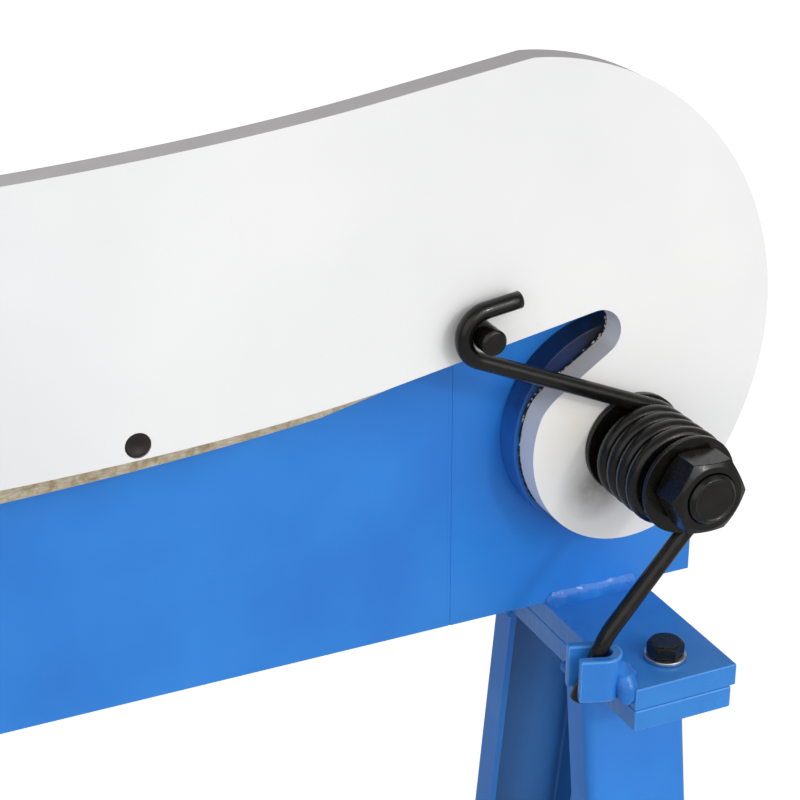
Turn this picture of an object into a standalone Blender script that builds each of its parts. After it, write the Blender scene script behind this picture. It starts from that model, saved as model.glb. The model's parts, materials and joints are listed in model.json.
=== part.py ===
"""Hand guillotine shear for sheet metal, on its own stand.

+X runs along the beam towards the pivot, +Y towards the work table and +Z up. Every
piece is modelled round the pivot: X and Z from the pivot axis, Y from the beam's front
face, on which the upper knife slides. The empty "machine" carries that point, placed so
that the machine stands centred over the origin with its feet on Z = 0.
"""

import math

import bmesh
import bpy
from mathutils import Matrix, Vector

MM = 0.001

# Clearances and the fineness of round shapes
GAP = 0.3 * MM
OVERRUN = 2.0 * MM
BORE_PLAY = 0.3 * MM
RUNNING_PLAY = 0.5 * MM
DISC_SIDES = 56
ROUND_SIDES = 32
SMALL_SIDES = 16
ARC_STEP = math.radians(6.0)
SHARP_ANGLE = math.radians(40.0)

# Pivot height over the floor, and the cutting line over the pivot
PIVOT_HEIGHT = 760.0 * MM
CUTTING_LINE = 62.0 * MM

# Knives: their length, and how far from the pivot they start
KNIFE_LENGTH = 800.0 * MM
KNIFE_START = 78.0 * MM
LOWER_KNIFE_HEIGHT = 25.0 * MM
UPPER_KNIFE_HEIGHT = 40.0 * MM

# Shear curve of the upper knife: it meets the cutting line at one angle all the way,
# and closes a little before the knife's end
SHEAR_ANGLE = math.radians(8.0)
CLOSES_SHORT = 22.0 * MM

# Beam, end plate and knife seat
BEAM_THICKNESS = 10.0 * MM
BEAM_BOTTOM = -80.8 * MM
BEAM_OVERHANG = 102.0 * MM
SEAM_TO_KNIFE = 11.5 * MM
END_PLATE_RIGHT = 46.5 * MM
SEAT_THICKNESS = 12.0 * MM
SEAT_HEIGHT = 57.0 * MM

# What fastens the knives
KNIFE_BOLT_RADIUS = 5.0 * MM
KNIFE_BOLT_ACROSS = 16.0 * MM
KNIFE_BOLT_HEAD_HEIGHT = 6.5 * MM
KNIFE_BOLT_INSET = 90.0 * MM
KNIFE_BOLT_ABOVE_BOTTOM = 10.0 * MM
KNIFE_BOLT_COUNT = 3
KNIFE_SCREW_RADIUS = 4.65 * MM
KNIFE_SCREW_INSET_RIGHT = 121.2 * MM
KNIFE_SCREW_INSET_LEFT = 78.8 * MM
KNIFE_SCREW_ABOVE_EDGE = 15.7 * MM
KNIFE_SCREW_COUNT = 3

# Relief ground on the upper knife's end at the pivot
RELIEF_LENGTH = 48.0 * MM
RELIEF_RISE = 3.3 * MM

# Arm plate: the strip of knife under it is narrow at the pivot and widens along the arm
ARM_THICKNESS = 11.6 * MM
ARM_STAND_OFF = 12.0 * MM
KNIFE_SHOWS = 9.0 * MM
KNIFE_SHOWS_MORE = 4.0 * MM
STRIP_WIDENS_FROM = 110.0 * MM
STRIP_WIDENS_OVER = 260.0 * MM
ARM_OVER_EDGE = 117.0 * MM
ARM_TIP_OVER_EDGE = 97.0 * MM
ARM_TAPER_REACH = 300.0 * MM
ARM_OVERHANG = 107.0 * MM
ARM_CORNER_RADIUS = 12.0 * MM
BOSS_RADIUS = 43.4 * MM
TAIL_CENTRE_X = -53.4 * MM
TAIL_CENTRE_Z = 44.2 * MM
TAIL_TOP_X = -48.0 * MM
EDGE_STRAIGHT_X = -110.0 * MM
EDGE_STEP = 52.0 * MM

# Notch between the arm's boss and its knife edge
NOTCH_END_X = -16.8 * MM
NOTCH_END_Z = 46.8 * MM
NOTCH_END_RADIUS = 9.7 * MM
NOTCH_TOP_ANGLE = math.radians(100.0)
NOTCH_RUN_ANGLE = math.radians(214.5)
NOTCH_RUN = 27.0 * MM
BOSS_START_ANGLE = math.radians(150.0)

# Pivot bolt and its stack
BOLT_RADIUS = 10.0 * MM
BOLT_CHAMFER = 1.5 * MM
BOLT_HEAD_WALL = 5.0 * MM
BOLT_HEAD_HEIGHT = 12.5 * MM
SPACER_MARGIN = 2.1 * MM
WASHER_DROP = 1.2 * MM
INNER_WASHER_MARGIN = 0.2 * MM
INNER_WASHER_THICKNESS = 2.6 * MM
OUTER_WASHER_MARGIN = -1.0 * MM
OUTER_WASHER_THICKNESS = 2.0 * MM
NUT_WALL = 4.0 * MM
NUT_HEIGHT = 14.6 * MM
NUT_TURN = math.radians(28.0)
BOLT_PROUD = 2.2 * MM

# Torsion spring, which rides low on the bolt
WIRE_RADIUS = 3.3 * MM
COIL_PLAY = 4.1 * MM
COIL_GAP = 0.45 * MM
COIL_FULL_TURNS = 4
COIL_POINTS = 10
COIL_SHIFT_X = -0.7 * MM
COIL_SHIFT_Z = -1.3 * MM
HOOK_PLAY = 1.8 * MM
HOOK_END_ANGLE = math.radians(98.0)
HOOK_TAIL = 14.0 * MM
LOWER_LEG_ANGLE = math.radians(-40.7)
LEG_BEND_RADIUS = 26.0 * MM
LEG_LEAN = math.radians(20.0)
LEG_BELOW_LUG = 2.5 * MM

# Spring anchor pin in the arm
PIN_X = -68.6 * MM
PIN_Z = 57.6 * MM
PIN_RADIUS = 5.0 * MM
PIN_PROUD = 15.0 * MM
PIN_CHAMFER = 1.0 * MM

# Foot plates under the beam, and the stand's top plates that they are bolted to
FOOT_PLATE_WIDTH = 45.6 * MM
FOOT_PLATE_THICKNESS = 9.4 * MM
FOOT_PLATE_FRONT = -73.0 * MM
FOOT_PLATE_BACK = 83.0 * MM
TOP_PLATE_INSET = 1.8 * MM
FOOT_BOLT_RADIUS = 4.0 * MM
FOOT_BOLT_ACROSS = 13.0 * MM
FOOT_BOLT_HEAD_HEIGHT = 5.3 * MM
FOOT_BOLT_EDGE = 16.5 * MM
FOOT_BOLT_SHORT = 1.0 * MM
FOOT_WASHER_RADIUS = 8.5 * MM
FOOT_WASHER_THICKNESS = 1.6 * MM
LEFT_STAND_INSET = 50.0 * MM

# Lug that holds the spring's lower leg
LUG_THICKNESS = 4.2 * MM
LUG_PLAY = 0.5 * MM
LUG_FRONT_ARM = 9.6 * MM
LUG_BACK_ARM = 12.5 * MM
LUG_HEIGHT = 18.4 * MM
LUG_LIFT = 3.6 * MM
LUG_TURN = math.radians(-20.0)
LEG_IN_LUG = 1.0 * MM

# Stand
LEG_WEB = 47.0 * MM
LEG_SHIFT = 0.8 * MM
LEG_FLANGE = 16.0 * MM
LEG_SHEET = 3.0 * MM
LEG_FOLD_RADIUS = 4.5 * MM
LEG_SPLAY_SHARE = 0.15
LEG_INSET = 38.4 * MM
PAD_OUTER_REACH = 36.0 * MM
PAD_INNER_REACH = 24.0 * MM
PAD_WIDTH = 56.0 * MM
PAD_THICKNESS = 6.0 * MM
BRACE_HEIGHT = 40.0 * MM
BRACE_THICKNESS = 5.0 * MM
BRACE_OVER_FLOOR = 190.0 * MM
TIE_HEIGHT = 36.0 * MM
TIE_THICKNESS = 5.0 * MM
TIE_OVER_FLOOR = 260.0 * MM
TIE_SETBACK = 5.0 * MM

# Work table, its brackets and the side fence
TABLE_THICKNESS = 3.0 * MM
TABLE_DEPTH = 200.0 * MM
TABLE_INSET = 5.5 * MM
TABLE_LIP = 18.0 * MM
BRACKET_THICKNESS = 6.0 * MM
BRACKET_REACH = 165.0 * MM
BRACKET_TIP = 12.0 * MM
BRACKET_DROP = 56.0 * MM
BRACKET_INSET = 143.0 * MM
FENCE_INSET = 12.0 * MM
FENCE_WIDTH = 25.0 * MM
FENCE_HEIGHT = 12.0 * MM
FENCE_SETBACK = 8.0 * MM
FENCE_LENGTH = 147.0 * MM

# Hold-down bar, its studs and its star knobs
CLAMP_SETBACK = 14.0 * MM
CLAMP_DEPTH = 30.0 * MM
CLAMP_HEIGHT = 22.0 * MM
CLAMP_INSET_RIGHT = 53.0 * MM
CLAMP_INSET_LEFT = 36.0 * MM
CLAMP_TRAVEL = 12.0 * MM
STUD_RADIUS = 6.0 * MM
STUD_INSET = 165.0 * MM
STUD_PROUD = 6.0 * MM
KNOB_RADIUS = 20.0 * MM
KNOB_LOBE = 3.0 * MM
KNOB_LOBES = 5
KNOB_HEIGHT = 20.0 * MM
KNOB_POINTS = 30

# Back gauge on its two rods
ROD_RADIUS = 8.0 * MM
ROD_LENGTH = 265.0 * MM
ROD_CHAMFER = 1.5 * MM
ROD_Z = -32.0 * MM
ROD_INSET_RIGHT = 322.0 * MM
ROD_INSET_LEFT = 158.0 * MM
GAUGE_Y = -150.0 * MM
GAUGE_THICKNESS = 5.0 * MM
GAUGE_ABOVE_LINE = 12.0 * MM
GAUGE_BELOW_RODS = 20.0 * MM
GAUGE_OVERHANG = 70.0 * MM
SLIDER_LENGTH = 50.0 * MM
SLIDER_WALL = 6.0 * MM
SCREW_RADIUS = 4.0 * MM
THUMB_RADIUS = 9.0 * MM
THUMB_HEIGHT = 9.0 * MM
THUMB_NECK = 8.0 * MM
THUMB_OFFSET = 14.0 * MM

# Handle and its grip
HANDLE_OVERLAP = 143.0 * MM
HANDLE_ABOVE_EDGE = 39.0 * MM
HANDLE_RISE = math.radians(20.0)
HANDLE_FLAT_LENGTH = 176.0 * MM
HANDLE_FLAT_HEIGHT = 38.0 * MM
HANDLE_FLAT_THICKNESS = 12.0 * MM
HANDLE_LAP = 11.0 * MM
HANDLE_LENGTH = 560.0 * MM
HANDLE_BAR_RADIUS = 12.0 * MM
GRIP_LENGTH = 135.0 * MM
GRIP_RADIUS = 17.0 * MM
GRIP_END_WALL = 5.0 * MM
HANDLE_SCREW_RADIUS = 6.0 * MM
HANDLE_SCREW_ACROSS = 18.0 * MM
HANDLE_SCREW_HEAD_HEIGHT = 7.5 * MM
HANDLE_SCREW_FIRST = 26.0 * MM
HANDLE_SCREW_PITCH = 88.0 * MM
HANDLE_SCREW_COUNT = 2

# Stop that the closed arm rests on
STOP_WIDTH = 40.0 * MM
STOP_HEIGHT = 30.0 * MM
STOP_DEPTH = 28.0 * MM
BUFFER_HEIGHT = 10.0 * MM
BUFFER_RADIUS = 9.0 * MM

# Places worked out from the sizes above, first those along the machine
KNIFE_RIGHT = -KNIFE_START
KNIFE_LEFT = KNIFE_RIGHT - KNIFE_LENGTH
CLOSING_REACH = KNIFE_START + KNIFE_LENGTH - CLOSES_SHORT
SEAM_X = KNIFE_RIGHT + SEAM_TO_KNIFE
BEAM_LEFT = KNIFE_LEFT - BEAM_OVERHANG
ARM_LEFT = KNIFE_LEFT - ARM_OVERHANG
LEFT_STAND_X = BEAM_LEFT + LEFT_STAND_INSET
TABLE_RIGHT = SEAM_X - TABLE_INSET
CLAMP_RIGHT = TABLE_RIGHT - CLAMP_INSET_RIGHT
CLAMP_LEFT = KNIFE_LEFT + CLAMP_INSET_LEFT
ROD_RIGHT_X = KNIFE_RIGHT - ROD_INSET_RIGHT
ROD_LEFT_X = KNIFE_LEFT + ROD_INSET_LEFT
HANDLE_START_X = ARM_LEFT + HANDLE_OVERLAP
TAIL_REACH = math.hypot(TAIL_CENTRE_X, TAIL_CENTRE_Z)
TAIL_RADIUS = BOSS_RADIUS + TAIL_REACH
TAIL_START_ANGLE = math.atan2(-TAIL_CENTRE_Z, -TAIL_CENTRE_X)

# Depths from the beam's front face
ARM_BACK_Y = -ARM_STAND_OFF
ARM_FRONT_Y = ARM_BACK_Y - ARM_THICKNESS
ARM_MIDDLE_Y = (ARM_BACK_Y + ARM_FRONT_Y) / 2
SEAT_FRONT = BEAM_THICKNESS + GAP
SEAT_BACK = SEAT_FRONT + SEAT_THICKNESS
TABLE_REAR = BEAM_THICKNESS + TABLE_DEPTH
CLAMP_FRONT = BEAM_THICKNESS + CLAMP_SETBACK
STUD_Y = CLAMP_FRONT + CLAMP_DEPTH / 2
HANDLE_BACK_Y = ARM_FRONT_Y - GAP
HANDLE_FRONT_Y = HANDLE_BACK_Y - HANDLE_FLAT_THICKNESS
HANDLE_MIDDLE_Y = (HANDLE_BACK_Y + HANDLE_FRONT_Y) / 2

# Heights from the pivot axis
FLOOR_Z = -PIVOT_HEIGHT
LOWER_KNIFE_BOTTOM = CUTTING_LINE - LOWER_KNIFE_HEIGHT
KNIFE_BOLT_Z = LOWER_KNIFE_BOTTOM + KNIFE_BOLT_ABOVE_BOTTOM
SEAT_TOP = CUTTING_LINE - TABLE_THICKNESS - GAP
FOOT_PLATE_TOP = BEAM_BOTTOM - GAP
FOOT_PLATE_BOTTOM = FOOT_PLATE_TOP - FOOT_PLATE_THICKNESS
TOP_PLATE_TOP = FOOT_PLATE_BOTTOM - GAP
TOP_PLATE_BOTTOM = TOP_PLATE_TOP - FOOT_PLATE_THICKNESS
LEG_TOP = TOP_PLATE_BOTTOM - GAP
CLAMP_BOTTOM = CUTTING_LINE + GAP
KNOB_BOTTOM = CLAMP_BOTTOM + CLAMP_HEIGHT + CLAMP_TRAVEL + GAP
SLIDER_HALF = ROD_RADIUS + RUNNING_PLAY + SLIDER_WALL

# Pivot stack and spring, from the arm forwards
SPACER_RADIUS = BOSS_RADIUS + SPACER_MARGIN
COIL_RADIUS = BOLT_RADIUS + COIL_PLAY + WIRE_RADIUS
COIL_OUTER_RADIUS = COIL_RADIUS + WIRE_RADIUS
COIL_PITCH = 2 * WIRE_RADIUS + COIL_GAP
INNER_WASHER_Y = ARM_FRONT_Y - GAP
COIL_BACK_Y = INNER_WASHER_Y - INNER_WASHER_THICKNESS - GAP - WIRE_RADIUS
HOOK_RADIUS = PIN_RADIUS + HOOK_PLAY + WIRE_RADIUS
HOOK_X = PIN_X + HOOK_PLAY - GAP
HOOK_FROM_COIL_X = HOOK_X - COIL_SHIFT_X
HOOK_FROM_COIL_Z = PIN_Z - COIL_SHIFT_Z
HOOK_DISTANCE = math.hypot(HOOK_FROM_COIL_X, HOOK_FROM_COIL_Z)
HOOK_DIRECTION = math.atan2(HOOK_FROM_COIL_Z, HOOK_FROM_COIL_X)
UPPER_LEG_LEAN = math.asin((COIL_RADIUS + HOOK_RADIUS) / HOOK_DISTANCE)
UPPER_LEG_ANGLE = HOOK_DIRECTION + UPPER_LEG_LEAN - math.pi / 2
COIL_SWEEP = UPPER_LEG_ANGLE - LOWER_LEG_ANGLE + 2 * math.pi * COIL_FULL_TURNS
COIL_FRONT_Y = COIL_BACK_Y - COIL_PITCH * COIL_SWEEP / (2 * math.pi)
OUTER_WASHER_Y = COIL_FRONT_Y - WIRE_RADIUS - GAP
NUT_Y = OUTER_WASHER_Y - OUTER_WASHER_THICKNESS - GAP
BOLT_END_Y = NUT_Y - NUT_HEIGHT - BOLT_PROUD
LUG_INNER_RADIUS = WIRE_RADIUS + LUG_PLAY
LUG_OUTER_RADIUS = LUG_INNER_RADIUS + LUG_THICKNESS
LUG_X = -FOOT_PLATE_WIDTH / 2 - GAP - LUG_OUTER_RADIUS
LUG_BOTTOM = FOOT_PLATE_BOTTOM + LUG_LIFT
LUG_TOP = LUG_BOTTOM + LUG_HEIGHT

# The machine's place, which centres its outline over the origin
GRIP_END = HANDLE_LENGTH + GAP + GRIP_END_WALL
GRIP_LEFT = GRIP_END * math.cos(HANDLE_RISE) + GRIP_RADIUS * math.sin(HANDLE_RISE)
REACH_LEFT = HANDLE_START_X - GRIP_LEFT
REACH_RIGHT = TAIL_CENTRE_X + TAIL_RADIUS
MACHINE_X = -(REACH_LEFT + REACH_RIGHT) / 2
MACHINE_Y = (ROD_LENGTH - TABLE_REAR) / 2


def polar(centre_u, centre_v, radius, angle):
    """Point at an angle on a circle."""
    return (centre_u + radius * math.cos(angle), centre_v + radius * math.sin(angle))


def arc(centre_u, centre_v, radius, start, end):
    """Points along an arc from one angle to another, both ends included."""
    steps = max(1, math.ceil(abs(end - start) / ARC_STEP))
    turns = [start + (end - start) * step / steps for step in range(steps + 1)]
    return [polar(centre_u, centre_v, radius, turn) for turn in turns]


def spread(first, last, count):
    """Evenly spaced values from first to last."""
    return [first + (last - first) * index / (count - 1) for index in range(count)]


def edge_places(left, right):
    """Values of x along a curved edge, close enough to follow its curve."""
    return spread(left, right, math.ceil((right - left) / EDGE_STEP) + 1)


def rectangle(low_u, high_u, low_v, high_v):
    """Outline of a rectangle."""
    return [(low_u, low_v), (high_u, low_v), (high_u, high_v), (low_u, high_v)]


def shear_edge(x):
    """Height of the upper knife's edge at x, with the arm closed."""
    reach = -x
    return CUTTING_LINE + SHEAR_ANGLE * reach * math.log(reach / CLOSING_REACH)


def arm_lower_edge(x):
    """Lower edge of the arm plate, over the strip of knife that shows."""
    share = min(1, max(0, (-x - STRIP_WIDENS_FROM) / STRIP_WIDENS_OVER))
    widened = share * share * (3 - 2 * share)
    return shear_edge(x) + KNIFE_SHOWS + KNIFE_SHOWS_MORE * widened


def arm_upper_edge(x):
    """Upper edge of the arm plate, which tapers towards the handle."""
    taper = max(0, (x + ARM_TAPER_REACH) / (ARM_LEFT + ARM_TAPER_REACH))
    return shear_edge(x) + ARM_OVER_EDGE + (ARM_TIP_OVER_EDGE - ARM_OVER_EDGE) * taper


def arm_outline():
    """Outline of the arm plate: knife edge, notch, boss, round tail and top edge."""
    tip_x = ARM_LEFT + ARM_CORNER_RADIUS
    along = edge_places(tip_x, EDGE_STRAIGHT_X)
    tail_top_angle = math.acos((TAIL_TOP_X - TAIL_CENTRE_X) / TAIL_RADIUS)
    boss_end_angle = TAIL_START_ANGLE + 2 * math.pi
    outline = [(x, arm_lower_edge(x)) for x in along]
    end_arc = arc(NOTCH_END_X, NOTCH_END_Z, NOTCH_END_RADIUS, NOTCH_TOP_ANGLE,
                  NOTCH_RUN_ANGLE - 3 * math.pi / 2)
    outline += end_arc
    outline.append(polar(*end_arc[-1], NOTCH_RUN, NOTCH_RUN_ANGLE))
    outline += arc(0, 0, BOSS_RADIUS, BOSS_START_ANGLE, boss_end_angle)[:-1]
    outline += arc(TAIL_CENTRE_X, TAIL_CENTRE_Z, TAIL_RADIUS, TAIL_START_ANGLE, tail_top_angle)
    outline += [(x, arm_upper_edge(x)) for x in reversed(along[1:])]
    upper_corner_z = arm_upper_edge(tip_x) - ARM_CORNER_RADIUS
    lower_corner_z = arm_lower_edge(tip_x) + ARM_CORNER_RADIUS
    outline += arc(tip_x, upper_corner_z, ARM_CORNER_RADIUS, math.pi / 2, math.pi)
    outline += arc(tip_x, lower_corner_z, ARM_CORNER_RADIUS, math.pi, 3 * math.pi / 2)[:-1]
    return outline


def upper_knife_outline():
    """Outline of the upper knife, between its cutting edge and a like curve above."""
    along = edge_places(KNIFE_LEFT, KNIFE_RIGHT - RELIEF_LENGTH)
    lower = [(x, shear_edge(x)) for x in along]
    upper = [(x, shear_edge(x) + UPPER_KNIFE_HEIGHT) for x in reversed(along)]
    end = shear_edge(KNIFE_RIGHT)
    right = [(KNIFE_RIGHT, end + RELIEF_RISE), (KNIFE_RIGHT, end + UPPER_KNIFE_HEIGHT)]
    return lower + right + upper


def beam_outline():
    """Outline of the beam, with the step that the lower knife lies in."""
    step_x = KNIFE_LEFT - GAP
    step_z = LOWER_KNIFE_BOTTOM - GAP
    right_x = SEAM_X - GAP
    return [
        (BEAM_LEFT, BEAM_BOTTOM),
        (right_x, BEAM_BOTTOM),
        (right_x, step_z),
        (step_x, step_z),
        (step_x, CUTTING_LINE),
        (BEAM_LEFT, CUTTING_LINE),
    ]


def table_outline():
    """Section of the table plate, with the lip folded down along its rear edge."""
    under = CUTTING_LINE - TABLE_THICKNESS
    lip_front = TABLE_REAR - TABLE_THICKNESS
    lip_bottom = CUTTING_LINE - TABLE_LIP
    return [
        (SEAT_FRONT, under),
        (lip_front, under),
        (lip_front, lip_bottom),
        (TABLE_REAR, lip_bottom),
        (TABLE_REAR, CUTTING_LINE),
        (SEAT_FRONT, CUTTING_LINE),
    ]


def bracket_outline():
    """Side view of a table bracket, a gusset on the knife seat's back."""
    front = SEAT_BACK + GAP
    rear = SEAT_BACK + BRACKET_REACH
    return [
        (front, SEAT_TOP - BRACKET_DROP),
        (rear, SEAT_TOP - BRACKET_TIP),
        (rear, SEAT_TOP),
        (front, SEAT_TOP),
    ]


def leg_outline(outward):
    """Section of a folded leg at the top of the stand; outward is -1 in front, +1 behind."""
    half = LEG_WEB / 2
    inner_half = half - LEG_SHEET
    inner_fold = LEG_FOLD_RADIUS - LEG_SHEET
    fold_u = half - LEG_FOLD_RADIUS
    outer = [(-half, -LEG_FLANGE)]
    outer += arc(-fold_u, -LEG_FOLD_RADIUS, LEG_FOLD_RADIUS, math.pi, math.pi / 2)
    outer += arc(fold_u, -LEG_FOLD_RADIUS, LEG_FOLD_RADIUS, math.pi / 2, 0)
    outer += [(half, -LEG_FLANGE), (inner_half, -LEG_FLANGE)]
    outer += arc(fold_u, -LEG_FOLD_RADIUS, inner_fold, 0, math.pi / 2)
    outer += arc(-fold_u, -LEG_FOLD_RADIUS, inner_fold, math.pi / 2, math.pi)
    outer += [(-inner_half, -LEG_FLANGE)]
    face_y = leg_face_y(outward, LEG_TOP)
    return [(u, face_y + outward * v) for u, v in outer]


def leg_face_y(outward, z):
    """Y of a leg's outer face at height z."""
    edge = FOOT_PLATE_FRONT if outward < 0 else FOOT_PLATE_BACK
    return edge - outward * LEG_INSET + outward * LEG_SPLAY_SHARE * (LEG_TOP - z)


def lower_leg():
    """Lower leg of the spring: its start on the coil, the corner over the lug, its direction
    below that corner, and how far along that direction it passes the lug's top.
    """
    leave_x, leave_z = polar(COIL_SHIFT_X, COIL_SHIFT_Z, COIL_RADIUS, LOWER_LEG_ANGLE)
    out_x, out_z = math.sin(LOWER_LEG_ANGLE), -math.cos(LOWER_LEG_ANGLE)
    down = Vector((-math.sin(LEG_LEAN) * math.cos(LUG_TURN),
                   -math.sin(LEG_LEAN) * math.sin(LUG_TURN), -math.cos(LEG_LEAN)))
    reach_x = LUG_X - LEG_IN_LUG * math.cos(LUG_TURN) - leave_x
    reach_z = LUG_TOP - leave_z
    turned = out_x * down.z - out_z * down.x
    before = (reach_x * down.z - reach_z * down.x) / turned
    after = (out_x * reach_z - out_z * reach_x) / turned
    leave = Vector((leave_x, COIL_FRONT_Y, leave_z))
    return leave, leave + before * Vector((out_x, 0, out_z)), down, after


def lug_outline():
    """Plan of the lug: a hairpin band, open to the left, turned towards its plate."""
    band = [(-LUG_FRONT_ARM, -LUG_OUTER_RADIUS)]
    band += arc(0, 0, LUG_OUTER_RADIUS, -math.pi / 2, math.pi / 2)
    band += [(-LUG_BACK_ARM, LUG_OUTER_RADIUS), (-LUG_BACK_ARM, LUG_INNER_RADIUS)]
    band += arc(0, 0, LUG_INNER_RADIUS, math.pi / 2, -math.pi / 2)
    band += [(-LUG_FRONT_ARM, -LUG_INNER_RADIUS)]
    turned = [Matrix.Rotation(LUG_TURN, 2) @ Vector(point) for point in band]
    corner, down, after = lower_leg()[1:]
    lug_y = corner.y + after * down.y + LEG_IN_LUG * math.sin(LUG_TURN)
    return [(LUG_X + point.x, lug_y + point.y) for point in turned]


def knob_outline(centre_x, centre_y):
    """Plan of a star knob with rounded lobes."""
    points = []
    for index in range(KNOB_POINTS):
        turn = 2 * math.pi * index / KNOB_POINTS
        radius = KNOB_RADIUS + KNOB_LOBE * math.cos(KNOB_LOBES * turn)
        points.append(polar(centre_x, centre_y, radius, turn))
    return points


def hexagon(centre_u, centre_v, across, turned_by=0):
    """Outline of a hexagon with its width across flats."""
    corner = across / math.sqrt(3)
    turns = [turned_by + math.pi / 6 + math.pi / 3 * side for side in range(6)]
    return [polar(centre_u, centre_v, corner, turn) for turn in turns]


def spring_path():
    """Centre line of the torsion spring, from the hook's tail to the lower leg's end."""
    hook_start = UPPER_LEG_ANGLE + math.pi
    hook = arc(HOOK_X, PIN_Z, HOOK_RADIUS, HOOK_END_ANGLE, hook_start)
    tail_x = hook[0][0] + HOOK_TAIL * math.sin(HOOK_END_ANGLE)
    tail_z = hook[0][1] - HOOK_TAIL * math.cos(HOOK_END_ANGLE)
    path = [(x, COIL_BACK_Y, z) for x, z in [(tail_x, tail_z)] + hook]
    steps = math.ceil(COIL_POINTS * COIL_SWEEP / (2 * math.pi))
    for step in range(steps + 1):
        turn = COIL_SWEEP * step / steps
        x, z = polar(COIL_SHIFT_X, COIL_SHIFT_Z, COIL_RADIUS, UPPER_LEG_ANGLE - turn)
        path.append((x, COIL_BACK_Y - COIL_PITCH * turn / (2 * math.pi), z))
    leave, corner, down, _ = lower_leg()
    out = (corner - leave).normalized()
    bend = out.angle(down)
    spot = corner - LEG_BEND_RADIUS * math.tan(bend / 2) * out
    path.append(spot)
    steps = math.ceil(bend / ARC_STEP)
    for step in range(steps):
        heading = out.slerp(down, (step + 1 / 2) / steps)
        spot = spot + 2 * LEG_BEND_RADIUS * math.sin(bend / steps / 2) * heading
        path.append(spot)
    path.append(spot + (LUG_BOTTOM - LEG_BELOW_LUG - spot.z) / down.z * down)
    return path


def least_gap_to_itself(path, wire_radius):
    """Smallest gap between stretches of the wire more than half a curl apart."""
    points = [Vector(point) for point in path]
    travelled = [0]
    for before, after in zip(points, points[1:]):
        travelled.append(travelled[-1] + (after - before).length)
    apart = math.pi * COIL_RADIUS
    gaps = []
    for first, start in enumerate(points):
        for second in range(first + 1, len(points)):
            if travelled[second] - travelled[first] > apart:
                gaps.append((points[second] - start).length - 2 * wire_radius)
    return min(gaps)


def place(axis, u, v, w):
    """Point of an outline (u, v) at w along an axis: X takes (y, z), Y (x, z), Z (x, y)."""
    if axis == "X":
        return (w, u, v)
    if axis == "Y":
        return (u, w, v)
    return (u, v, w)


def finished(name, mesh_builder, material, parent):
    """Turn a bmesh into a named object under its parent empty."""
    bmesh.ops.recalc_face_normals(mesh_builder, faces=mesh_builder.faces)
    mesh = bpy.data.meshes.new(name)
    mesh_builder.to_mesh(mesh)
    mesh_builder.free()
    mesh.materials.append(material)
    thing = bpy.data.objects.new(name, mesh)
    bpy.context.collection.objects.link(thing)
    thing.parent = parent
    return thing


def smooth(thing):
    """Shade the round faces of an object smooth and keep its edges sharp."""
    thing.data.shade_smooth()
    thing.data.set_sharp_from_angle(angle=SHARP_ANGLE)
    return thing


def extrude_into(builder, outline, axis, low, high):
    """Add a prism to a bmesh: an outline extruded from low to high along an axis."""
    corners = [builder.verts.new(place(axis, u, v, low)) for u, v in outline]
    base = builder.faces.new(corners)
    grown = bmesh.ops.extrude_face_region(builder, geom=[base])
    top = [item for item in grown["geom"] if isinstance(item, bmesh.types.BMVert)]
    bmesh.ops.translate(builder, verts=top, vec=Vector(place(axis, 0, 0, high - low)))


def prism(name, outline, axis, low, high, material, parent):
    """Object made by extruding an outline from low to high along an axis."""
    builder = bmesh.new()
    extrude_into(builder, outline, axis, low, high)
    return finished(name, builder, material, parent)


def turn_into(builder, profile, axis, centre, sides):
    """Add a turned shape to a bmesh, from a profile of (radius, along) pairs.

    The profile closes on itself, or on the axis where its ends have no radius.
    """
    rings = []
    for radius, along in profile:
        count = sides if radius else 1
        turns = [2 * math.pi * side / count for side in range(count)]
        spots = [polar(centre[0], centre[1], radius, turn) for turn in turns]
        rings.append([builder.verts.new(place(axis, u, v, along)) for u, v in spots])
    pairs = list(zip(rings, rings[1:]))
    if profile[0][0] and profile[-1][0]:
        pairs.append((rings[-1], rings[0]))
    for lower, upper in pairs:
        for side in range(sides):
            after = (side + 1) % sides
            if len(lower) == 1:
                builder.faces.new([lower[0], upper[side], upper[after]])
            elif len(upper) == 1:
                builder.faces.new([lower[side], lower[after], upper[0]])
            else:
                builder.faces.new([lower[side], lower[after], upper[after], upper[side]])


def turned(name, profile, axis, centre, sides, material, parent):
    """Object turned from a profile of (radius, along) pairs round an axis."""
    builder = bmesh.new()
    turn_into(builder, profile, axis, centre, sides)
    return smooth(finished(name, builder, material, parent))


def rod_profile(radius, low, high, chamfer=0):
    """Profile of a solid rod, with a chamfer at its low end if one is given."""
    if not chamfer:
        return [(0, low), (radius, low), (radius, high), (0, high)]
    tip = [(0, low), (radius - chamfer, low), (radius, low + chamfer)]
    return tip + [(radius, high), (0, high)]


def ring_profile(inner, outer, low, high):
    """Profile of a washer or a disc with a bore."""
    return [(inner, low), (outer, low), (outer, high), (inner, high)]


def combine(thing, tool, operation):
    """Join or cut an object with a tool object that the model itself leaves out."""
    tool.hide_render = True
    tool.display_type = "WIRE"
    modifier = thing.modifiers.new(tool.name, "BOOLEAN")
    modifier.operation = operation
    modifier.solver = "EXACT"
    modifier.object = tool


def drill(thing, label, axis, places, radius, low, high, sides=SMALL_SIDES):
    """Cut round holes along an axis through an object, with one cutter for them all."""
    builder = bmesh.new()
    for spot in places:
        turn_into(builder, rod_profile(radius, low, high), axis, spot, sides)
    cutter = finished(thing.name + label, builder, thing.data.materials[0], thing.parent)
    combine(thing, cutter, "DIFFERENCE")


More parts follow.
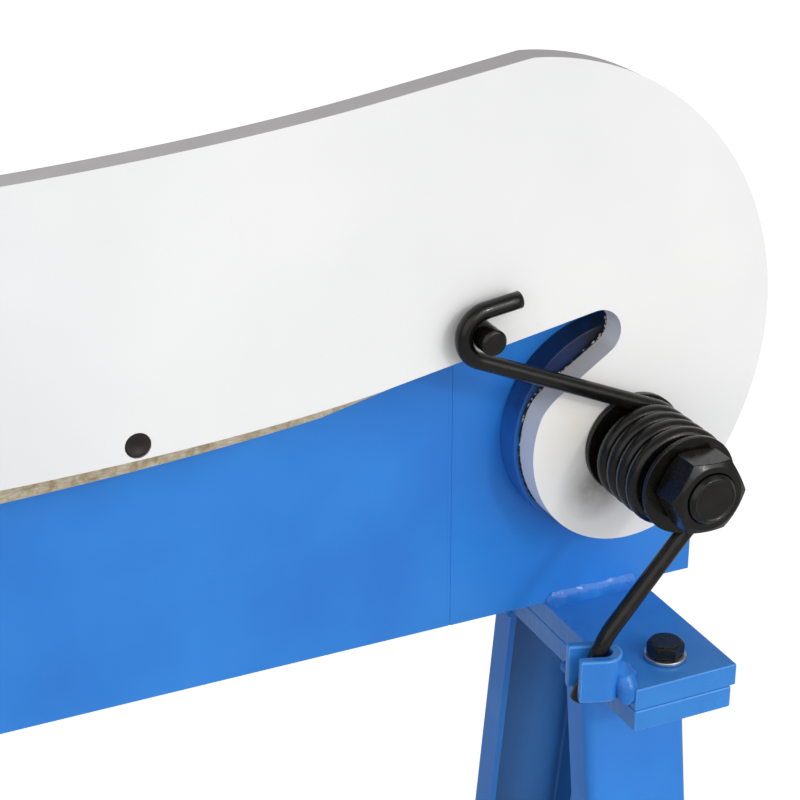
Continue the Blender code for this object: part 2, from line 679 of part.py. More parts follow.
def hex_bolt(name, axis, spot, across, head, shank_radius, shank, material, parent):
    """Hexagon bolt from its head's and its shank's (low, high) places along an axis."""
    bolt = prism(name, hexagon(*spot, across), axis, *head, material, parent)
    shank_name = name + "_shank"
    tool = turned(
        shank_name, rod_profile(shank_radius, *shank), axis, spot, SMALL_SIDES, material, parent
    )
    combine(bolt, tool, "UNION")
    return bolt


def make_material(name, colour, roughness, metallic):
    """Principled material with one colour."""
    material = bpy.data.materials.new(name)
    material.use_nodes = True
    shader = material.node_tree.nodes["Principled BSDF"]
    shader.inputs["Base Color"].default_value = (*colour, 1)
    shader.inputs["Roughness"].default_value = roughness
    shader.inputs["Metallic"].default_value = metallic
    return material


def make_materials():
    """The machine's finishes."""
    return {
        "blue": make_material("blue_enamel", (0.040, 0.225, 0.620), 0.35, 0.0),
        "white": make_material("white_enamel", (0.855, 0.855, 0.865), 0.45, 0.0),
        "black": make_material("black_oxide", (0.012, 0.012, 0.011), 0.38, 0.6),
        "tool_steel": make_material("ground_tool_steel", (0.480, 0.440, 0.350), 0.42, 1.0),
        "zinc": make_material("zinc_plate", (0.620, 0.630, 0.640), 0.30, 1.0),
        "steel": make_material("bright_steel", (0.560, 0.570, 0.580), 0.28, 1.0),
        "rubber": make_material("black_rubber", (0.018, 0.018, 0.019), 0.80, 0.0),
        "plastic": make_material("black_plastic", (0.015, 0.015, 0.016), 0.50, 0.0),
    }


def clear_scene():
    """Remove what the file holds, such as its default objects."""
    for thing in list(bpy.data.objects):
        bpy.data.objects.remove(thing, do_unlink=True)


def add_empty(name, location, parent=None):
    """Empty that carries the pieces of one body."""
    empty = bpy.data.objects.new(name, None)
    bpy.context.collection.objects.link(empty)
    empty.location = location
    empty.parent = parent
    return empty


def build_beam(finish, machine):
    """Beam, end plate at the pivot, knife seat and the disc that the arm runs on."""
    blue = finish["blue"]
    bolt_hole = KNIFE_BOLT_RADIUS + BORE_PLAY
    prism("beam_plate", beam_outline(), "Y", 0, BEAM_THICKNESS, blue, machine)
    end_outline = rectangle(SEAM_X + GAP, END_PLATE_RIGHT, BEAM_BOTTOM, CUTTING_LINE)
    end_plate = prism("end_plate", end_outline, "Y", 0, BEAM_THICKNESS, blue, machine)
    drill(end_plate, "_bore", "Y", [(0, 0)], BOLT_RADIUS + BORE_PLAY, -OVERRUN,
          BEAM_THICKNESS + OVERRUN, ROUND_SIDES)
    seat_outline = rectangle(KNIFE_LEFT, SEAM_X - GAP, SEAT_TOP - SEAT_HEIGHT, SEAT_TOP)
    seat = prism("knife_seat", seat_outline, "Y", SEAT_FRONT, SEAT_BACK, blue, machine)
    drill(seat, "_holes", "Y", knife_bolt_places(), bolt_hole, SEAT_FRONT - OVERRUN,
          SEAT_BACK + OVERRUN)
    disc = ring_profile(BOLT_RADIUS + BORE_PLAY, SPACER_RADIUS, ARM_BACK_Y + GAP, -GAP)
    turned("pivot_spacer", disc, "Y", (0, 0), DISC_SIDES, blue, machine)


def knife_bolt_places():
    """Places of the lower knife's bolts."""
    first = SEAM_X - KNIFE_BOLT_INSET
    last = KNIFE_LEFT + KNIFE_BOLT_INSET
    return [(x, KNIFE_BOLT_Z) for x in spread(first, last, KNIFE_BOLT_COUNT)]


def build_lower_knife(finish, machine):
    """Lower knife in the beam's step, held by bolts through the seat behind it."""
    knife_outline = rectangle(KNIFE_LEFT, SEAM_X - GAP, LOWER_KNIFE_BOTTOM, CUTTING_LINE)
    steel = finish["tool_steel"]
    knife = prism("lower_knife", knife_outline, "Y", 0, BEAM_THICKNESS, steel, machine)
    places = knife_bolt_places()
    drill(knife, "_holes", "Y", places, KNIFE_BOLT_RADIUS + BORE_PLAY, -OVERRUN,
          BEAM_THICKNESS + OVERRUN)
    head = (SEAT_BACK + GAP, SEAT_BACK + GAP + KNIFE_BOLT_HEAD_HEIGHT)
    shank = (GAP, head[1] - OVERRUN)
    for index, spot in enumerate(places):
        hex_bolt(f"lower_knife_bolt_{index + 1}", "Y", spot, KNIFE_BOLT_ACROSS, head,
                 KNIFE_BOLT_RADIUS, shank, finish["black"], machine)


def build_pivot_stack(finish, machine):
    """Pivot bolt from behind, its washers either side of the coil, and its nut."""
    black = finish["black"]
    head = (BEAM_THICKNESS + GAP, BEAM_THICKNESS + GAP + BOLT_HEAD_HEIGHT)
    head_outline = hexagon(0, 0, 2 * (BOLT_RADIUS + BOLT_HEAD_WALL))
    bolt = prism("pivot_bolt", head_outline, "Y", *head, black, machine)
    shank_profile = rod_profile(BOLT_RADIUS, BOLT_END_Y, head[1] - OVERRUN, BOLT_CHAMFER)
    shank = turned("pivot_bolt_shank", shank_profile, "Y", (0, 0), ROUND_SIDES, black, machine)
    combine(bolt, shank, "UNION")
    bore = BOLT_RADIUS + BORE_PLAY
    washer_bore = bore + WASHER_DROP
    inner = ring_profile(washer_bore, COIL_OUTER_RADIUS + INNER_WASHER_MARGIN,
                         INNER_WASHER_Y - INNER_WASHER_THICKNESS, INNER_WASHER_Y)
    turned("inner_washer", inner, "Y", (0, -WASHER_DROP), ROUND_SIDES, black, machine)
    outer = ring_profile(washer_bore, COIL_OUTER_RADIUS + OUTER_WASHER_MARGIN,
                         OUTER_WASHER_Y - OUTER_WASHER_THICKNESS, OUTER_WASHER_Y)
    turned("outer_washer", outer, "Y", (0, -WASHER_DROP), ROUND_SIDES, black, machine)
    nut_outline = hexagon(0, 0, 2 * (BOLT_RADIUS + NUT_WALL), NUT_TURN)
    nut = prism("pivot_nut", nut_outline, "Y", NUT_Y - NUT_HEIGHT, NUT_Y, black, machine)
    drill(nut, "_bore", "Y", [(0, 0)], bore, NUT_Y - NUT_HEIGHT - OVERRUN, NUT_Y + OVERRUN,
          ROUND_SIDES)


def build_spring(finish, machine):
    """Torsion spring: hook round the arm's pin, coil on the bolt, leg in the lug."""
    path = spring_path()
    curve = bpy.data.curves.new("torsion_spring", "CURVE")
    curve.dimensions = "3D"
    curve.bevel_depth = WIRE_RADIUS
    curve.bevel_resolution = 1
    curve.use_fill_caps = True
    spline = curve.splines.new("POLY")
    spline.points.add(len(path) - 1)
    for point, spot in zip(spline.points, path):
        point.co = (*spot, 1)
    curve.materials.append(finish["black"])
    spring = bpy.data.objects.new("torsion_spring", curve)
    bpy.context.collection.objects.link(spring)
    spring.parent = machine
    gap = least_gap_to_itself(path, WIRE_RADIUS)
    print(f"torsion_spring: least gap to itself {gap / MM:.2f} mm")


def build_lug(finish, machine):
    """Lug on the foot plate's front corner, which holds the spring's lower leg."""
    prism("spring_lug", lug_outline(), "Z", LUG_BOTTOM, LUG_TOP, finish["blue"], machine)


def foot_bolt_places(stand_x):
    """Plan places of the two bolts that hold a foot plate to its stand."""
    front = FOOT_PLATE_FRONT + FOOT_BOLT_EDGE
    back = FOOT_PLATE_BACK - FOOT_BOLT_EDGE
    return {"front": (stand_x, front), "back": (stand_x, back)}


def build_foot(side, stand_x, finish, machine):
    """Foot plate of the beam and stand's top plate, with their bolts and washers."""
    blue = finish["blue"]
    half = FOOT_PLATE_WIDTH / 2
    places = foot_bolt_places(stand_x)
    hole = FOOT_BOLT_RADIUS + BORE_PLAY
    foot_outline = rectangle(stand_x - half, stand_x + half, FOOT_PLATE_FRONT, FOOT_PLATE_BACK)
    foot = prism(f"foot_plate_{side}", foot_outline, "Z", FOOT_PLATE_BOTTOM, FOOT_PLATE_TOP,
                 blue, machine)
    top_outline = rectangle(stand_x - half, stand_x + half - TOP_PLATE_INSET, FOOT_PLATE_FRONT,
                            FOOT_PLATE_BACK)
    top = prism(f"stand_top_{side}", top_outline, "Z", TOP_PLATE_BOTTOM, TOP_PLATE_TOP,
                blue, machine)
    for plate, low, high in ((foot, FOOT_PLATE_BOTTOM, FOOT_PLATE_TOP),
                             (top, TOP_PLATE_BOTTOM, TOP_PLATE_TOP)):
        drill(plate, "_holes", "Z", places.values(), hole, low - OVERRUN, high + OVERRUN)
    washer_low = FOOT_PLATE_TOP + GAP
    washer_high = washer_low + FOOT_WASHER_THICKNESS
    head = (washer_high + GAP, washer_high + GAP + FOOT_BOLT_HEAD_HEIGHT)
    shank = (TOP_PLATE_BOTTOM + FOOT_BOLT_SHORT, head[1] - OVERRUN)
    for end, spot in places.items():
        washer = ring_profile(hole, FOOT_WASHER_RADIUS, washer_low, washer_high)
        turned(f"foot_washer_{side}_{end}", washer, "Z", spot, SMALL_SIDES, finish["zinc"],
               machine)
        hex_bolt(f"foot_bolt_{side}_{end}", "Z", spot, FOOT_BOLT_ACROSS, head, FOOT_BOLT_RADIUS,
                 shank, finish["black"], machine)


def build_leg(side, end, stand_x, finish, machine):
    """Folded leg that splays outwards, with its pad welded on."""
    outward = -1 if end == "front" else 1
    bottom = FLOOR_Z + PAD_THICKNESS
    middle = stand_x + LEG_SHIFT
    outline = [(middle + u, v) for u, v in leg_outline(outward)]
    builder = bmesh.new()
    extrude_into(builder, outline, "Z", bottom - PAD_THICKNESS / 2, LEG_TOP)
    for corner in builder.verts:
        corner.co.y += outward * LEG_SPLAY_SHARE * (LEG_TOP - corner.co.z)
    leg = finished(f"leg_{side}_{end}", builder, finish["blue"], machine)
    face = leg_face_y(outward, FLOOR_Z)
    reach = sorted([face + outward * PAD_OUTER_REACH, face - outward * PAD_INNER_REACH])
    half = PAD_WIDTH / 2
    pad_outline = rectangle(middle - half, middle + half, *reach)
    pad = prism(leg.name + "_pad", pad_outline, "Z", FLOOR_Z, bottom, finish["blue"], machine)
    combine(leg, pad, "UNION")


def build_brace(side, stand_x, finish, machine):
    """Flat bar across the outer side of a stand's two legs."""
    low = FLOOR_Z + BRACE_OVER_FLOOR
    high = low + BRACE_HEIGHT
    outward = 1 if side == "right" else -1
    near = stand_x + LEG_SHIFT + outward * (LEG_WEB / 2 + GAP)
    spans = sorted([near, near + outward * BRACE_THICKNESS])
    outline = rectangle(leg_face_y(-1, high), leg_face_y(1, high), low, high)
    prism(f"end_brace_{side}", outline, "X", *spans, finish["blue"], machine)


def build_tie(end, finish, machine):
    """Long tie bar between the flanges of the two stands' legs."""
    outward = -1 if end == "front" else 1
    low = FLOOR_Z + TIE_OVER_FLOOR
    high = low + TIE_HEIGHT
    outline = []
    for z, depths in ((low, (TIE_SETBACK, TIE_SETBACK + TIE_THICKNESS)),
                      (high, (TIE_SETBACK + TIE_THICKNESS, TIE_SETBACK))):
        outline += [(leg_face_y(outward, z) - outward * depth, z) for depth in depths]
    reach = LEG_WEB / 2 + GAP
    prism(f"tie_bar_{end}", outline, "X", LEFT_STAND_X + LEG_SHIFT + reach, LEG_SHIFT - reach,
          finish["blue"], machine)


def build_stand(finish, machine):
    """Both stands with their plates, and the tie bars between them."""
    for side, stand_x in (("right", 0), ("left", LEFT_STAND_X)):
        build_foot(side, stand_x, finish, machine)
        build_brace(side, stand_x, finish, machine)
        for end in ("front", "back"):
            build_leg(side, end, stand_x, finish, machine)
    for end in ("front", "back"):
        build_tie(end, finish, machine)


def build_table(finish, machine):
    """Work table behind the knife, its gussets and the side fence."""
    blue = finish["blue"]
    prism("table_plate", table_outline(), "X", KNIFE_LEFT, TABLE_RIGHT, blue, machine)
    half = BRACKET_THICKNESS / 2
    for side, x in (("right", TABLE_RIGHT - BRACKET_INSET), ("left", KNIFE_LEFT + BRACKET_INSET)):
        prism(f"table_bracket_{side}", bracket_outline(), "X", x - half, x + half, blue, machine)
    fence_right = TABLE_RIGHT - FENCE_INSET
    fence_front = BEAM_THICKNESS + FENCE_SETBACK
    fence_outline = rectangle(fence_right - FENCE_WIDTH, fence_right, fence_front,
                              fence_front + FENCE_LENGTH)
    prism("side_fence", fence_outline, "Z", CUTTING_LINE + GAP, CUTTING_LINE + GAP + FENCE_HEIGHT,
          finish["steel"], machine)


def build_clamp(finish, machine):
    """Hold-down bar that slides up its two studs, and the star knobs over it."""
    places = {"right": (CLAMP_RIGHT - STUD_INSET, STUD_Y), "left": (CLAMP_LEFT + STUD_INSET, STUD_Y)}
    carrier = add_empty("hold_down_slide", (0, 0, CLAMP_BOTTOM), machine)
    bar_outline = rectangle(CLAMP_LEFT, CLAMP_RIGHT, CLAMP_FRONT, CLAMP_FRONT + CLAMP_DEPTH)
    bar = prism("hold_down_bar", bar_outline, "Z", 0, CLAMP_HEIGHT, finish["blue"], carrier)
    drill(bar, "_holes", "Z", places.values(), STUD_RADIUS + RUNNING_PLAY, -OVERRUN,
          CLAMP_HEIGHT + OVERRUN)
    stud_top = KNOB_BOTTOM + KNOB_HEIGHT + STUD_PROUD
    for side, (x, y) in places.items():
        stud = rod_profile(STUD_RADIUS, CUTTING_LINE + GAP, stud_top)
        turned(f"hold_down_stud_{side}", stud, "Z", (x, y), SMALL_SIDES, finish["zinc"], machine)
        axis = add_empty(f"hold_down_knob_{side}_axis", (x, y, KNOB_BOTTOM), machine)
        knob = prism(f"hold_down_knob_{side}", knob_outline(0, 0), "Z", 0, KNOB_HEIGHT,
                     finish["plastic"], axis)
        drill(knob, "_bore", "Z", [(0, 0)], STUD_RADIUS + RUNNING_PLAY, -OVERRUN,
              KNOB_HEIGHT + OVERRUN)


def build_gauge(finish, machine):
    """Back gauge: a stop plate on two rods, held by thumb screws."""
    black = finish["black"]
    carrier = add_empty("back_gauge_slide", (0, GAUGE_Y, 0), machine)
    left = ROD_LEFT_X - GAUGE_OVERHANG
    right = ROD_RIGHT_X + GAUGE_OVERHANG
    half = GAUGE_THICKNESS / 2
    plate_outline = rectangle(left, right, ROD_Z - GAUGE_BELOW_RODS,
                              CUTTING_LINE + GAUGE_ABOVE_LINE)
    gauge = prism("gauge_plate", plate_outline, "Y", -half, half, finish["blue"], carrier)
    slider_top = ROD_Z + SLIDER_HALF
    screw_bottom = ROD_Z + ROD_RADIUS + GAP
    neck_top = slider_top + THUMB_NECK
    bore = ROD_RADIUS + RUNNING_PLAY
    reach = SLIDER_LENGTH / 2
    for side, x in (("right", ROD_RIGHT_X), ("left", ROD_LEFT_X)):
        rod = rod_profile(ROD_RADIUS, -ROD_LENGTH, -GAP, ROD_CHAMFER)
        turned(f"gauge_rod_{side}", rod, "Y", (x, ROD_Z), SMALL_SIDES, finish["steel"], machine)
        block = rectangle(x - SLIDER_HALF, x + SLIDER_HALF, ROD_Z - SLIDER_HALF, slider_top)
        slider = prism(f"gauge_slider_{side}", block, "Y", -reach, reach, black, carrier)
        combine(gauge, slider, "UNION")
        axis = add_empty(f"gauge_screw_{side}_axis", (x, THUMB_OFFSET, ROD_Z), carrier)
        screw = [
            (0, screw_bottom - ROD_Z),
            (SCREW_RADIUS, screw_bottom - ROD_Z),
            (SCREW_RADIUS, neck_top - ROD_Z),
            (THUMB_RADIUS, neck_top - ROD_Z),
            (THUMB_RADIUS, neck_top + THUMB_HEIGHT - ROD_Z),
            (0, neck_top + THUMB_HEIGHT - ROD_Z),
        ]
        turned(f"gauge_screw_{side}", screw, "Z", (0, 0), SMALL_SIDES, black, axis)
    rod_places = [(ROD_RIGHT_X, ROD_Z), (ROD_LEFT_X, ROD_Z)]
    drill(gauge, "_bores", "Y", rod_places, bore, -reach - OVERRUN, reach + OVERRUN)
    screw_places = [(ROD_RIGHT_X, THUMB_OFFSET), (ROD_LEFT_X, THUMB_OFFSET)]
    drill(gauge, "_taps", "Z", screw_places, SCREW_RADIUS + BORE_PLAY, ROD_Z,
          slider_top + OVERRUN)


def knife_screw_places():
    """Places of the screws that hold the upper knife to the arm."""
    first = KNIFE_RIGHT - KNIFE_SCREW_INSET_RIGHT
    last = KNIFE_LEFT + KNIFE_SCREW_INSET_LEFT
    along = spread(first, last, KNIFE_SCREW_COUNT)
    return [(x, shear_edge(x) + KNIFE_SCREW_ABOVE_EDGE) for x in along]


def handle_start():
    """Place where the handle's axis starts on the arm."""
    return (HANDLE_START_X, arm_lower_edge(HANDLE_START_X) + HANDLE_ABOVE_EDGE)


def handle_screw_places():
    """Places of the screws that hold the handle to the arm."""
    return [polar(*handle_start(), distance, math.pi - HANDLE_RISE)
            for distance in handle_screw_distances()]


def handle_screw_distances():
    """Distances of the handle's screws from its start, along its axis."""
    return [HANDLE_SCREW_FIRST + HANDLE_SCREW_PITCH * index
            for index in range(HANDLE_SCREW_COUNT)]


def build_arm_plate(finish, arm):
    """Arm plate with its pivot bore and the holes for its pin and screws."""
    outline = arm_outline()
    plate = prism("arm_plate", outline, "Y", ARM_FRONT_Y, ARM_BACK_Y, finish["white"], arm)
    low = ARM_FRONT_Y - OVERRUN
    high = ARM_BACK_Y + OVERRUN
    drill(plate, "_bore", "Y", [(0, 0)], BOLT_RADIUS + BORE_PLAY, low, high, ROUND_SIDES)
    drill(plate, "_pin_hole", "Y", [(PIN_X, PIN_Z)], PIN_RADIUS + BORE_PLAY, low, high)
    drill(plate, "_knife_holes", "Y", knife_screw_places(), KNIFE_SCREW_RADIUS + BORE_PLAY,
          low, high)
    drill(plate, "_handle_holes", "Y", handle_screw_places(), HANDLE_SCREW_RADIUS + BORE_PLAY,
          low, high)


def build_upper_knife(finish, arm):
    """Upper knife behind the arm, and the screws whose ends lie flush in the arm."""
    steel = finish["tool_steel"]
    back = -GAP
    front = ARM_BACK_Y + GAP
    knife = prism("upper_knife", upper_knife_outline(), "Y", front, back, steel, arm)
    drill(knife, "_holes", "Y", knife_screw_places(), KNIFE_SCREW_RADIUS + BORE_PLAY,
          front - OVERRUN, back + OVERRUN)
    screw = rod_profile(KNIFE_SCREW_RADIUS, ARM_FRONT_Y, back - GAP)
    for index, spot in enumerate(knife_screw_places()):
        name = f"knife_screw_{index + 1}"
        turned(name, screw, "Y", spot, SMALL_SIDES, finish["black"], arm)


def build_pin(finish, arm):
    """Anchor pin in the arm, round which the spring hooks."""
    profile = rod_profile(PIN_RADIUS, ARM_FRONT_Y - PIN_PROUD, ARM_BACK_Y, PIN_CHAMFER)
    turned("spring_pin", profile, "Y", (PIN_X, PIN_Z), SMALL_SIDES, finish["black"], arm)


def build_handle(finish, arm):
    """Handle bar with its flat end on the arm, its screws and its rubber grip."""
    black = finish["black"]
    start_x, start_z = handle_start()
    axis = add_empty("handle_axis", (start_x, HANDLE_MIDDLE_Y, start_z), arm)
    axis.rotation_euler.y = HANDLE_RISE
    half_height = HANDLE_FLAT_HEIGHT / 2
    half_thickness = HANDLE_FLAT_THICKNESS / 2
    flat = rectangle(-HANDLE_FLAT_LENGTH, 0, -half_height, half_height)
    bar = prism("handle_bar", flat, "Y", -half_thickness, half_thickness, black, axis)
    tube_profile = rod_profile(HANDLE_BAR_RADIUS, -HANDLE_LENGTH,
                               HANDLE_LAP - HANDLE_FLAT_LENGTH)
    tube = turned("handle_tube", tube_profile, "X", (0, 0), SMALL_SIDES, black, axis)
    combine(bar, tube, "UNION")
    holes = [(-distance, 0) for distance in handle_screw_distances()]
    drill(bar, "_holes", "Y", holes, HANDLE_SCREW_RADIUS + BORE_PLAY,
          -half_thickness - OVERRUN, half_thickness + OVERRUN)
    open_end = GRIP_LENGTH - GRIP_END
    bore = HANDLE_BAR_RADIUS + GAP
    grip = [
        (0, -GRIP_END),
        (GRIP_RADIUS, -GRIP_END),
        (GRIP_RADIUS, open_end),
        (bore, open_end),
        (bore, -HANDLE_LENGTH - GAP),
        (0, -HANDLE_LENGTH - GAP),
    ]
    turned("handle_grip", grip, "X", (0, 0), SMALL_SIDES, finish["rubber"], axis)
    head = (HANDLE_FRONT_Y - GAP - HANDLE_SCREW_HEAD_HEIGHT, HANDLE_FRONT_Y - GAP)
    shank = (head[0] + OVERRUN, ARM_BACK_Y)
    for index, spot in enumerate(handle_screw_places()):
        hex_bolt(f"handle_screw_{index + 1}", "Y", spot, HANDLE_SCREW_ACROSS, head,
                 HANDLE_SCREW_RADIUS, shank, black, arm)


def build_stop(finish, machine):
    """Stop block on the beam's left end, with the rubber buffer under the closed arm."""
    x = LEFT_STAND_X
    buffer_top = arm_lower_edge(x + BUFFER_RADIUS) - GAP
    block_top = buffer_top - BUFFER_HEIGHT - GAP
    half = STOP_WIDTH / 2
    outline = rectangle(x - half, x + half, block_top - STOP_HEIGHT, block_top)
    prism("arm_stop", outline, "Y", -STOP_DEPTH, -GAP, finish["blue"], machine)
    buffer = rod_profile(BUFFER_RADIUS, block_top + GAP, buffer_top)
    turned("stop_buffer", buffer, "Z", (x, ARM_MIDDLE_Y), SMALL_SIDES, finish["rubber"], machine)


def main():
    """Build the machine with its arm closed."""
    clear_scene()
    finish = make_materials()
    machine = add_empty("machine", (MACHINE_X, MACHINE_Y, PIVOT_HEIGHT))
    arm = add_empty("arm_axis", (0, 0, 0), machine)
    build_beam(finish, machine)
    build_lower_knife(finish, machine)
    build_pivot_stack(finish, machine)
    build_spring(finish, machine)
    build_lug(finish, machine)
    build_stand(finish, machine)
    build_table(finish, machine)
    build_clamp(finish, machine)
    build_gauge(finish, machine)
    build_stop(finish, machine)
    build_arm_plate(finish, arm)
    build_upper_knife(finish, arm)
    build_pin(finish, arm)
    build_handle(finish, arm)


main()
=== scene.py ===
"""Looks of the hand guillotine shear: its pieces, finishes, floor, light and camera.

Pieces are laid out in millimetres from the pivot: X right along the beam, Y back from the
beam's front face and Z up from the pivot's axis. Colours are sRGB hex values.
"""

from __future__ import annotations

import json
import logging
import math
import random
from dataclasses import dataclass
from enum import Enum
from functools import cache
from typing import Any, Callable, Iterable, Sequence

import bmesh
import bpy
from mathutils import Matrix, Vector
from mathutils.geometry import tessellate_polygon

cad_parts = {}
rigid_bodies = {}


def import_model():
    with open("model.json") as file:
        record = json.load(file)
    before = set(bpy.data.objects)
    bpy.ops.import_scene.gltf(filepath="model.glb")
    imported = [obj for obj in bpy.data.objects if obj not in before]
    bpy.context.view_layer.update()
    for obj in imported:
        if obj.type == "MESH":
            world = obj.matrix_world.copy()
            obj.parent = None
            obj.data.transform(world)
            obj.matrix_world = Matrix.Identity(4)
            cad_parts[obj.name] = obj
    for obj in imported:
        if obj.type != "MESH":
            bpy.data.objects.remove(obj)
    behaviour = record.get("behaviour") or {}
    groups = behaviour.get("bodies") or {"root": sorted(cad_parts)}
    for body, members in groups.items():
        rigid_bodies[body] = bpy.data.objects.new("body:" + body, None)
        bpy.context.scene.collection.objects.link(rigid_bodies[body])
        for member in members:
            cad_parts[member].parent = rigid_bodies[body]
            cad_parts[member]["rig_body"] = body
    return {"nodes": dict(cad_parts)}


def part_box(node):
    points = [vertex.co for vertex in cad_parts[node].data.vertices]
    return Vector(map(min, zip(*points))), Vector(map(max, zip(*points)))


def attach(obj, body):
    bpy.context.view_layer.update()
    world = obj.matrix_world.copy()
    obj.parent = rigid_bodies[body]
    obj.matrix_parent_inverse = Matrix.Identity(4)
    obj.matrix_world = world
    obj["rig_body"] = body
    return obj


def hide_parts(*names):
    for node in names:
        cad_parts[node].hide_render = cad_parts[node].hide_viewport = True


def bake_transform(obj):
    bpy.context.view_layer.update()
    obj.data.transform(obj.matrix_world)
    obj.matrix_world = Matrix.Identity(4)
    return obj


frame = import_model()

MM = 0.001
PIVOT = Vector((0.659852, 0.0275, 0.76))
TO_ROW = Matrix.Translation(PIVOT) @ Matrix.Scale(MM, 4)
LOG = logging.getLogger("guillotine shear")

Pair = tuple[float, float]
Point = tuple[float, float, float]
Socket = bpy.types.NodeSocket


class Axis(Enum):
    """Direction in which an outline is extruded or a profile is turned."""

    X = "X"
    Y = "Y"
    Z = "Z"

    def place(self, u: float, v: float, w: float) -> Point:
        """Give the point of an outline (u, v) at w along this axis."""
        return {"X": (w, u, v), "Y": (u, w, v), "Z": (u, v, w)}[self.value]


def linear(colour: str) -> tuple[float, float, float, float]:
    """Turn an sRGB hex colour to linear.

    Args:
        colour: The colour as "#RRGGBB".

    Returns:
        Red, green, blue and an alpha of 1.
    """
    channels = [int(colour[start:start + 2], 16) / 255 for start in (1, 3, 5)]
    return (*[c / 12.92 if c <= 0.04045 else ((c + 0.055) / 1.055) ** 2.4 for c in channels], 1.0)


def connect(tree: bpy.types.NodeTree, node: bpy.types.Node, inputs: dict[Any, Any]) -> None:
    """Link or set a node's inputs, each a value or an output socket, by name or number."""
    for key, value in inputs.items():
        if isinstance(value, Socket):
            tree.links.new(value, node.inputs[key])
        else:
            node.inputs[key].default_value = value


def add_node(tree: bpy.types.NodeTree, kind: str, inputs: dict[Any, Any] | None = None,
             **settings: Any) -> bpy.types.Node:
    """Add a node with its settings and links.

    Args:
        tree: The material's node tree.
        kind: The node's type name.
        inputs: Values or output sockets, by input name or number.
        **settings: Properties of the node itself.

    Returns:
        The new node.
    """
    node = tree.nodes.new(kind)
    for name, value in settings.items():
        setattr(node, name, value)
    connect(tree, node, inputs or {})
    return node


def placed(thing: bpy.types.Object) -> bpy.types.Object:
    """Link an object to the scene."""
    bpy.context.scene.collection.objects.link(thing)
    return thing


@dataclass(frozen=True)
class GrimeAndShadePatch:
    """A soft patch of colour round a point, in millimetres from the pivot, for grime, rubbed paint
    and painted shade.
    """

    place: Point
    reach_mm: float
    colour: str
    strength: float


@dataclass(frozen=True)
class Surface:
    """A material in the making: its tree, its shader and the coordinates on the piece."""

    tree: bpy.types.NodeTree
    shader: bpy.types.Node
    where: Socket

    def add(self, kind: str, inputs: dict[Any, Any] | None = None, **settings: Any
            ) -> bpy.types.Node:
        """Add a node to the material."""
        return add_node(self.tree, kind, inputs, **settings)

    def give(self, inputs: dict[str, Any]) -> None:
        """Link or set inputs of the shader."""
        connect(self.tree, self.shader, inputs)

    def noise(self, size_mm: float, detail: float = 2.0, distortion: float = 0.0) -> Socket:
        """Add noise whose blotches are about size_mm across.

        Args:
            size_mm: Size of a blotch.
            detail: Octaves of finer noise.
            distortion: How much the blotches are pulled about.

        Returns:
            The noise's value, about 0.5.
        """
        return self.add("ShaderNodeTexNoise",
                        {"Vector": self.where, "Scale": 1 / (size_mm * MM), "Detail": detail,
                         "Distortion": distortion}).outputs["Fac"]

    def stretched(self, scale: Point) -> Socket:
        """Add noise drawn out to lines, from its scale along each axis."""
        drawn = self.add("ShaderNodeMapping", {"Vector": self.where, "Scale": scale})
        return self.add("ShaderNodeTexNoise", {"Vector": drawn.outputs["Vector"], "Scale": 1.0,
                                               "Detail": 3.0}).outputs["Fac"]

    def between(self, value: Socket, low: float, high: float, to_low: float = 0.0,
                to_high: float = 1.0) -> Socket:
        """Map a value's range from low and high to other limits, and hold it there."""
        return self.add("ShaderNodeMapRange",
                        {"Value": value, "From Min": low, "From Max": high, "To Min": to_low,
                         "To Max": to_high}).outputs["Result"]

    def blend(self, share: Socket, first: Any, second: Any) -> Socket:
        """Mix two colours, each a hex value or a socket, by a share."""
        ends = [linear(end) if isinstance(end, str) else end for end in (first, second)]
        return self.add("ShaderNodeMix", {0: share, 6: ends[0], 7: ends[1]},
                        data_type="RGBA").outputs[2]

    def emboss(self, height: Socket, depth_mm: float) -> None:
        """Raise a height map by depth_mm at most, as bump on the shader."""
        bump = self.add("ShaderNodeBump", {"Height": height, "Distance": depth_mm * MM,
                                           "Strength": 1.0})
        self.give({"Normal": bump.outputs["Normal"]})

    def faced(self, tone: Socket, other: Any, axis: str, most: float) -> Socket:
        """Blend in another colour on the faces that look along an axis.

        Args:
            tone: The colour so far.
            other: The other colour, a hex value or a socket.
            axis: "Z" for faces that look up, "X" for faces that look to either side.
            most: Its share where a face looks straight along the axis.

        Returns:
            The blended colour.
        """
        aim = self.add("ShaderNodeTexCoord").outputs["Normal"]
        part = self.add("ShaderNodeSeparateXYZ", {"Vector": aim}).outputs[axis]
        if axis == "X":
            part = self.add("ShaderNodeMath", {0: part}, operation="ABSOLUTE").outputs[0]
        return self.blend(self.between(part, 0.5, 0.95, 0.0, most), tone, other)

    def add_grime_and_shade(self, tone: Socket, grime_shade: GrimeAndShadePatch) -> Socket:
        """Change the colour round the place of a patch of grime and painted shade, with a ragged
        edge.
        """
        away = self.add("ShaderNodeVectorMath",
                        {0: self.where, 1: TO_ROW @ Vector(grime_shade.place)}, operation="DISTANCE")
        near = self.between(away.outputs["Value"], 0.0, grime_shade.reach_mm * MM, grime_shade.strength, 0.0)
        ragged = self.between(self.noise(7.0, 4.0), 0.3, 0.7, 0.5, 1.0)
        share = self.add("ShaderNodeMath", {0: near, 1: ragged}, operation="MULTIPLY")
        return self.blend(share.outputs["Value"], tone, grime_shade.colour)


@dataclass(frozen=True)
class Finish:
    """What every surface finish has: its name, the record's slot and its base colour."""

    name: str
    slot: str
    colour: str

    def dress(self, surface: Surface) -> None:
        """Give the surface its plain colour; each kind of finish lays its own instead."""
        surface.give({"Base Color": linear(self.colour)})


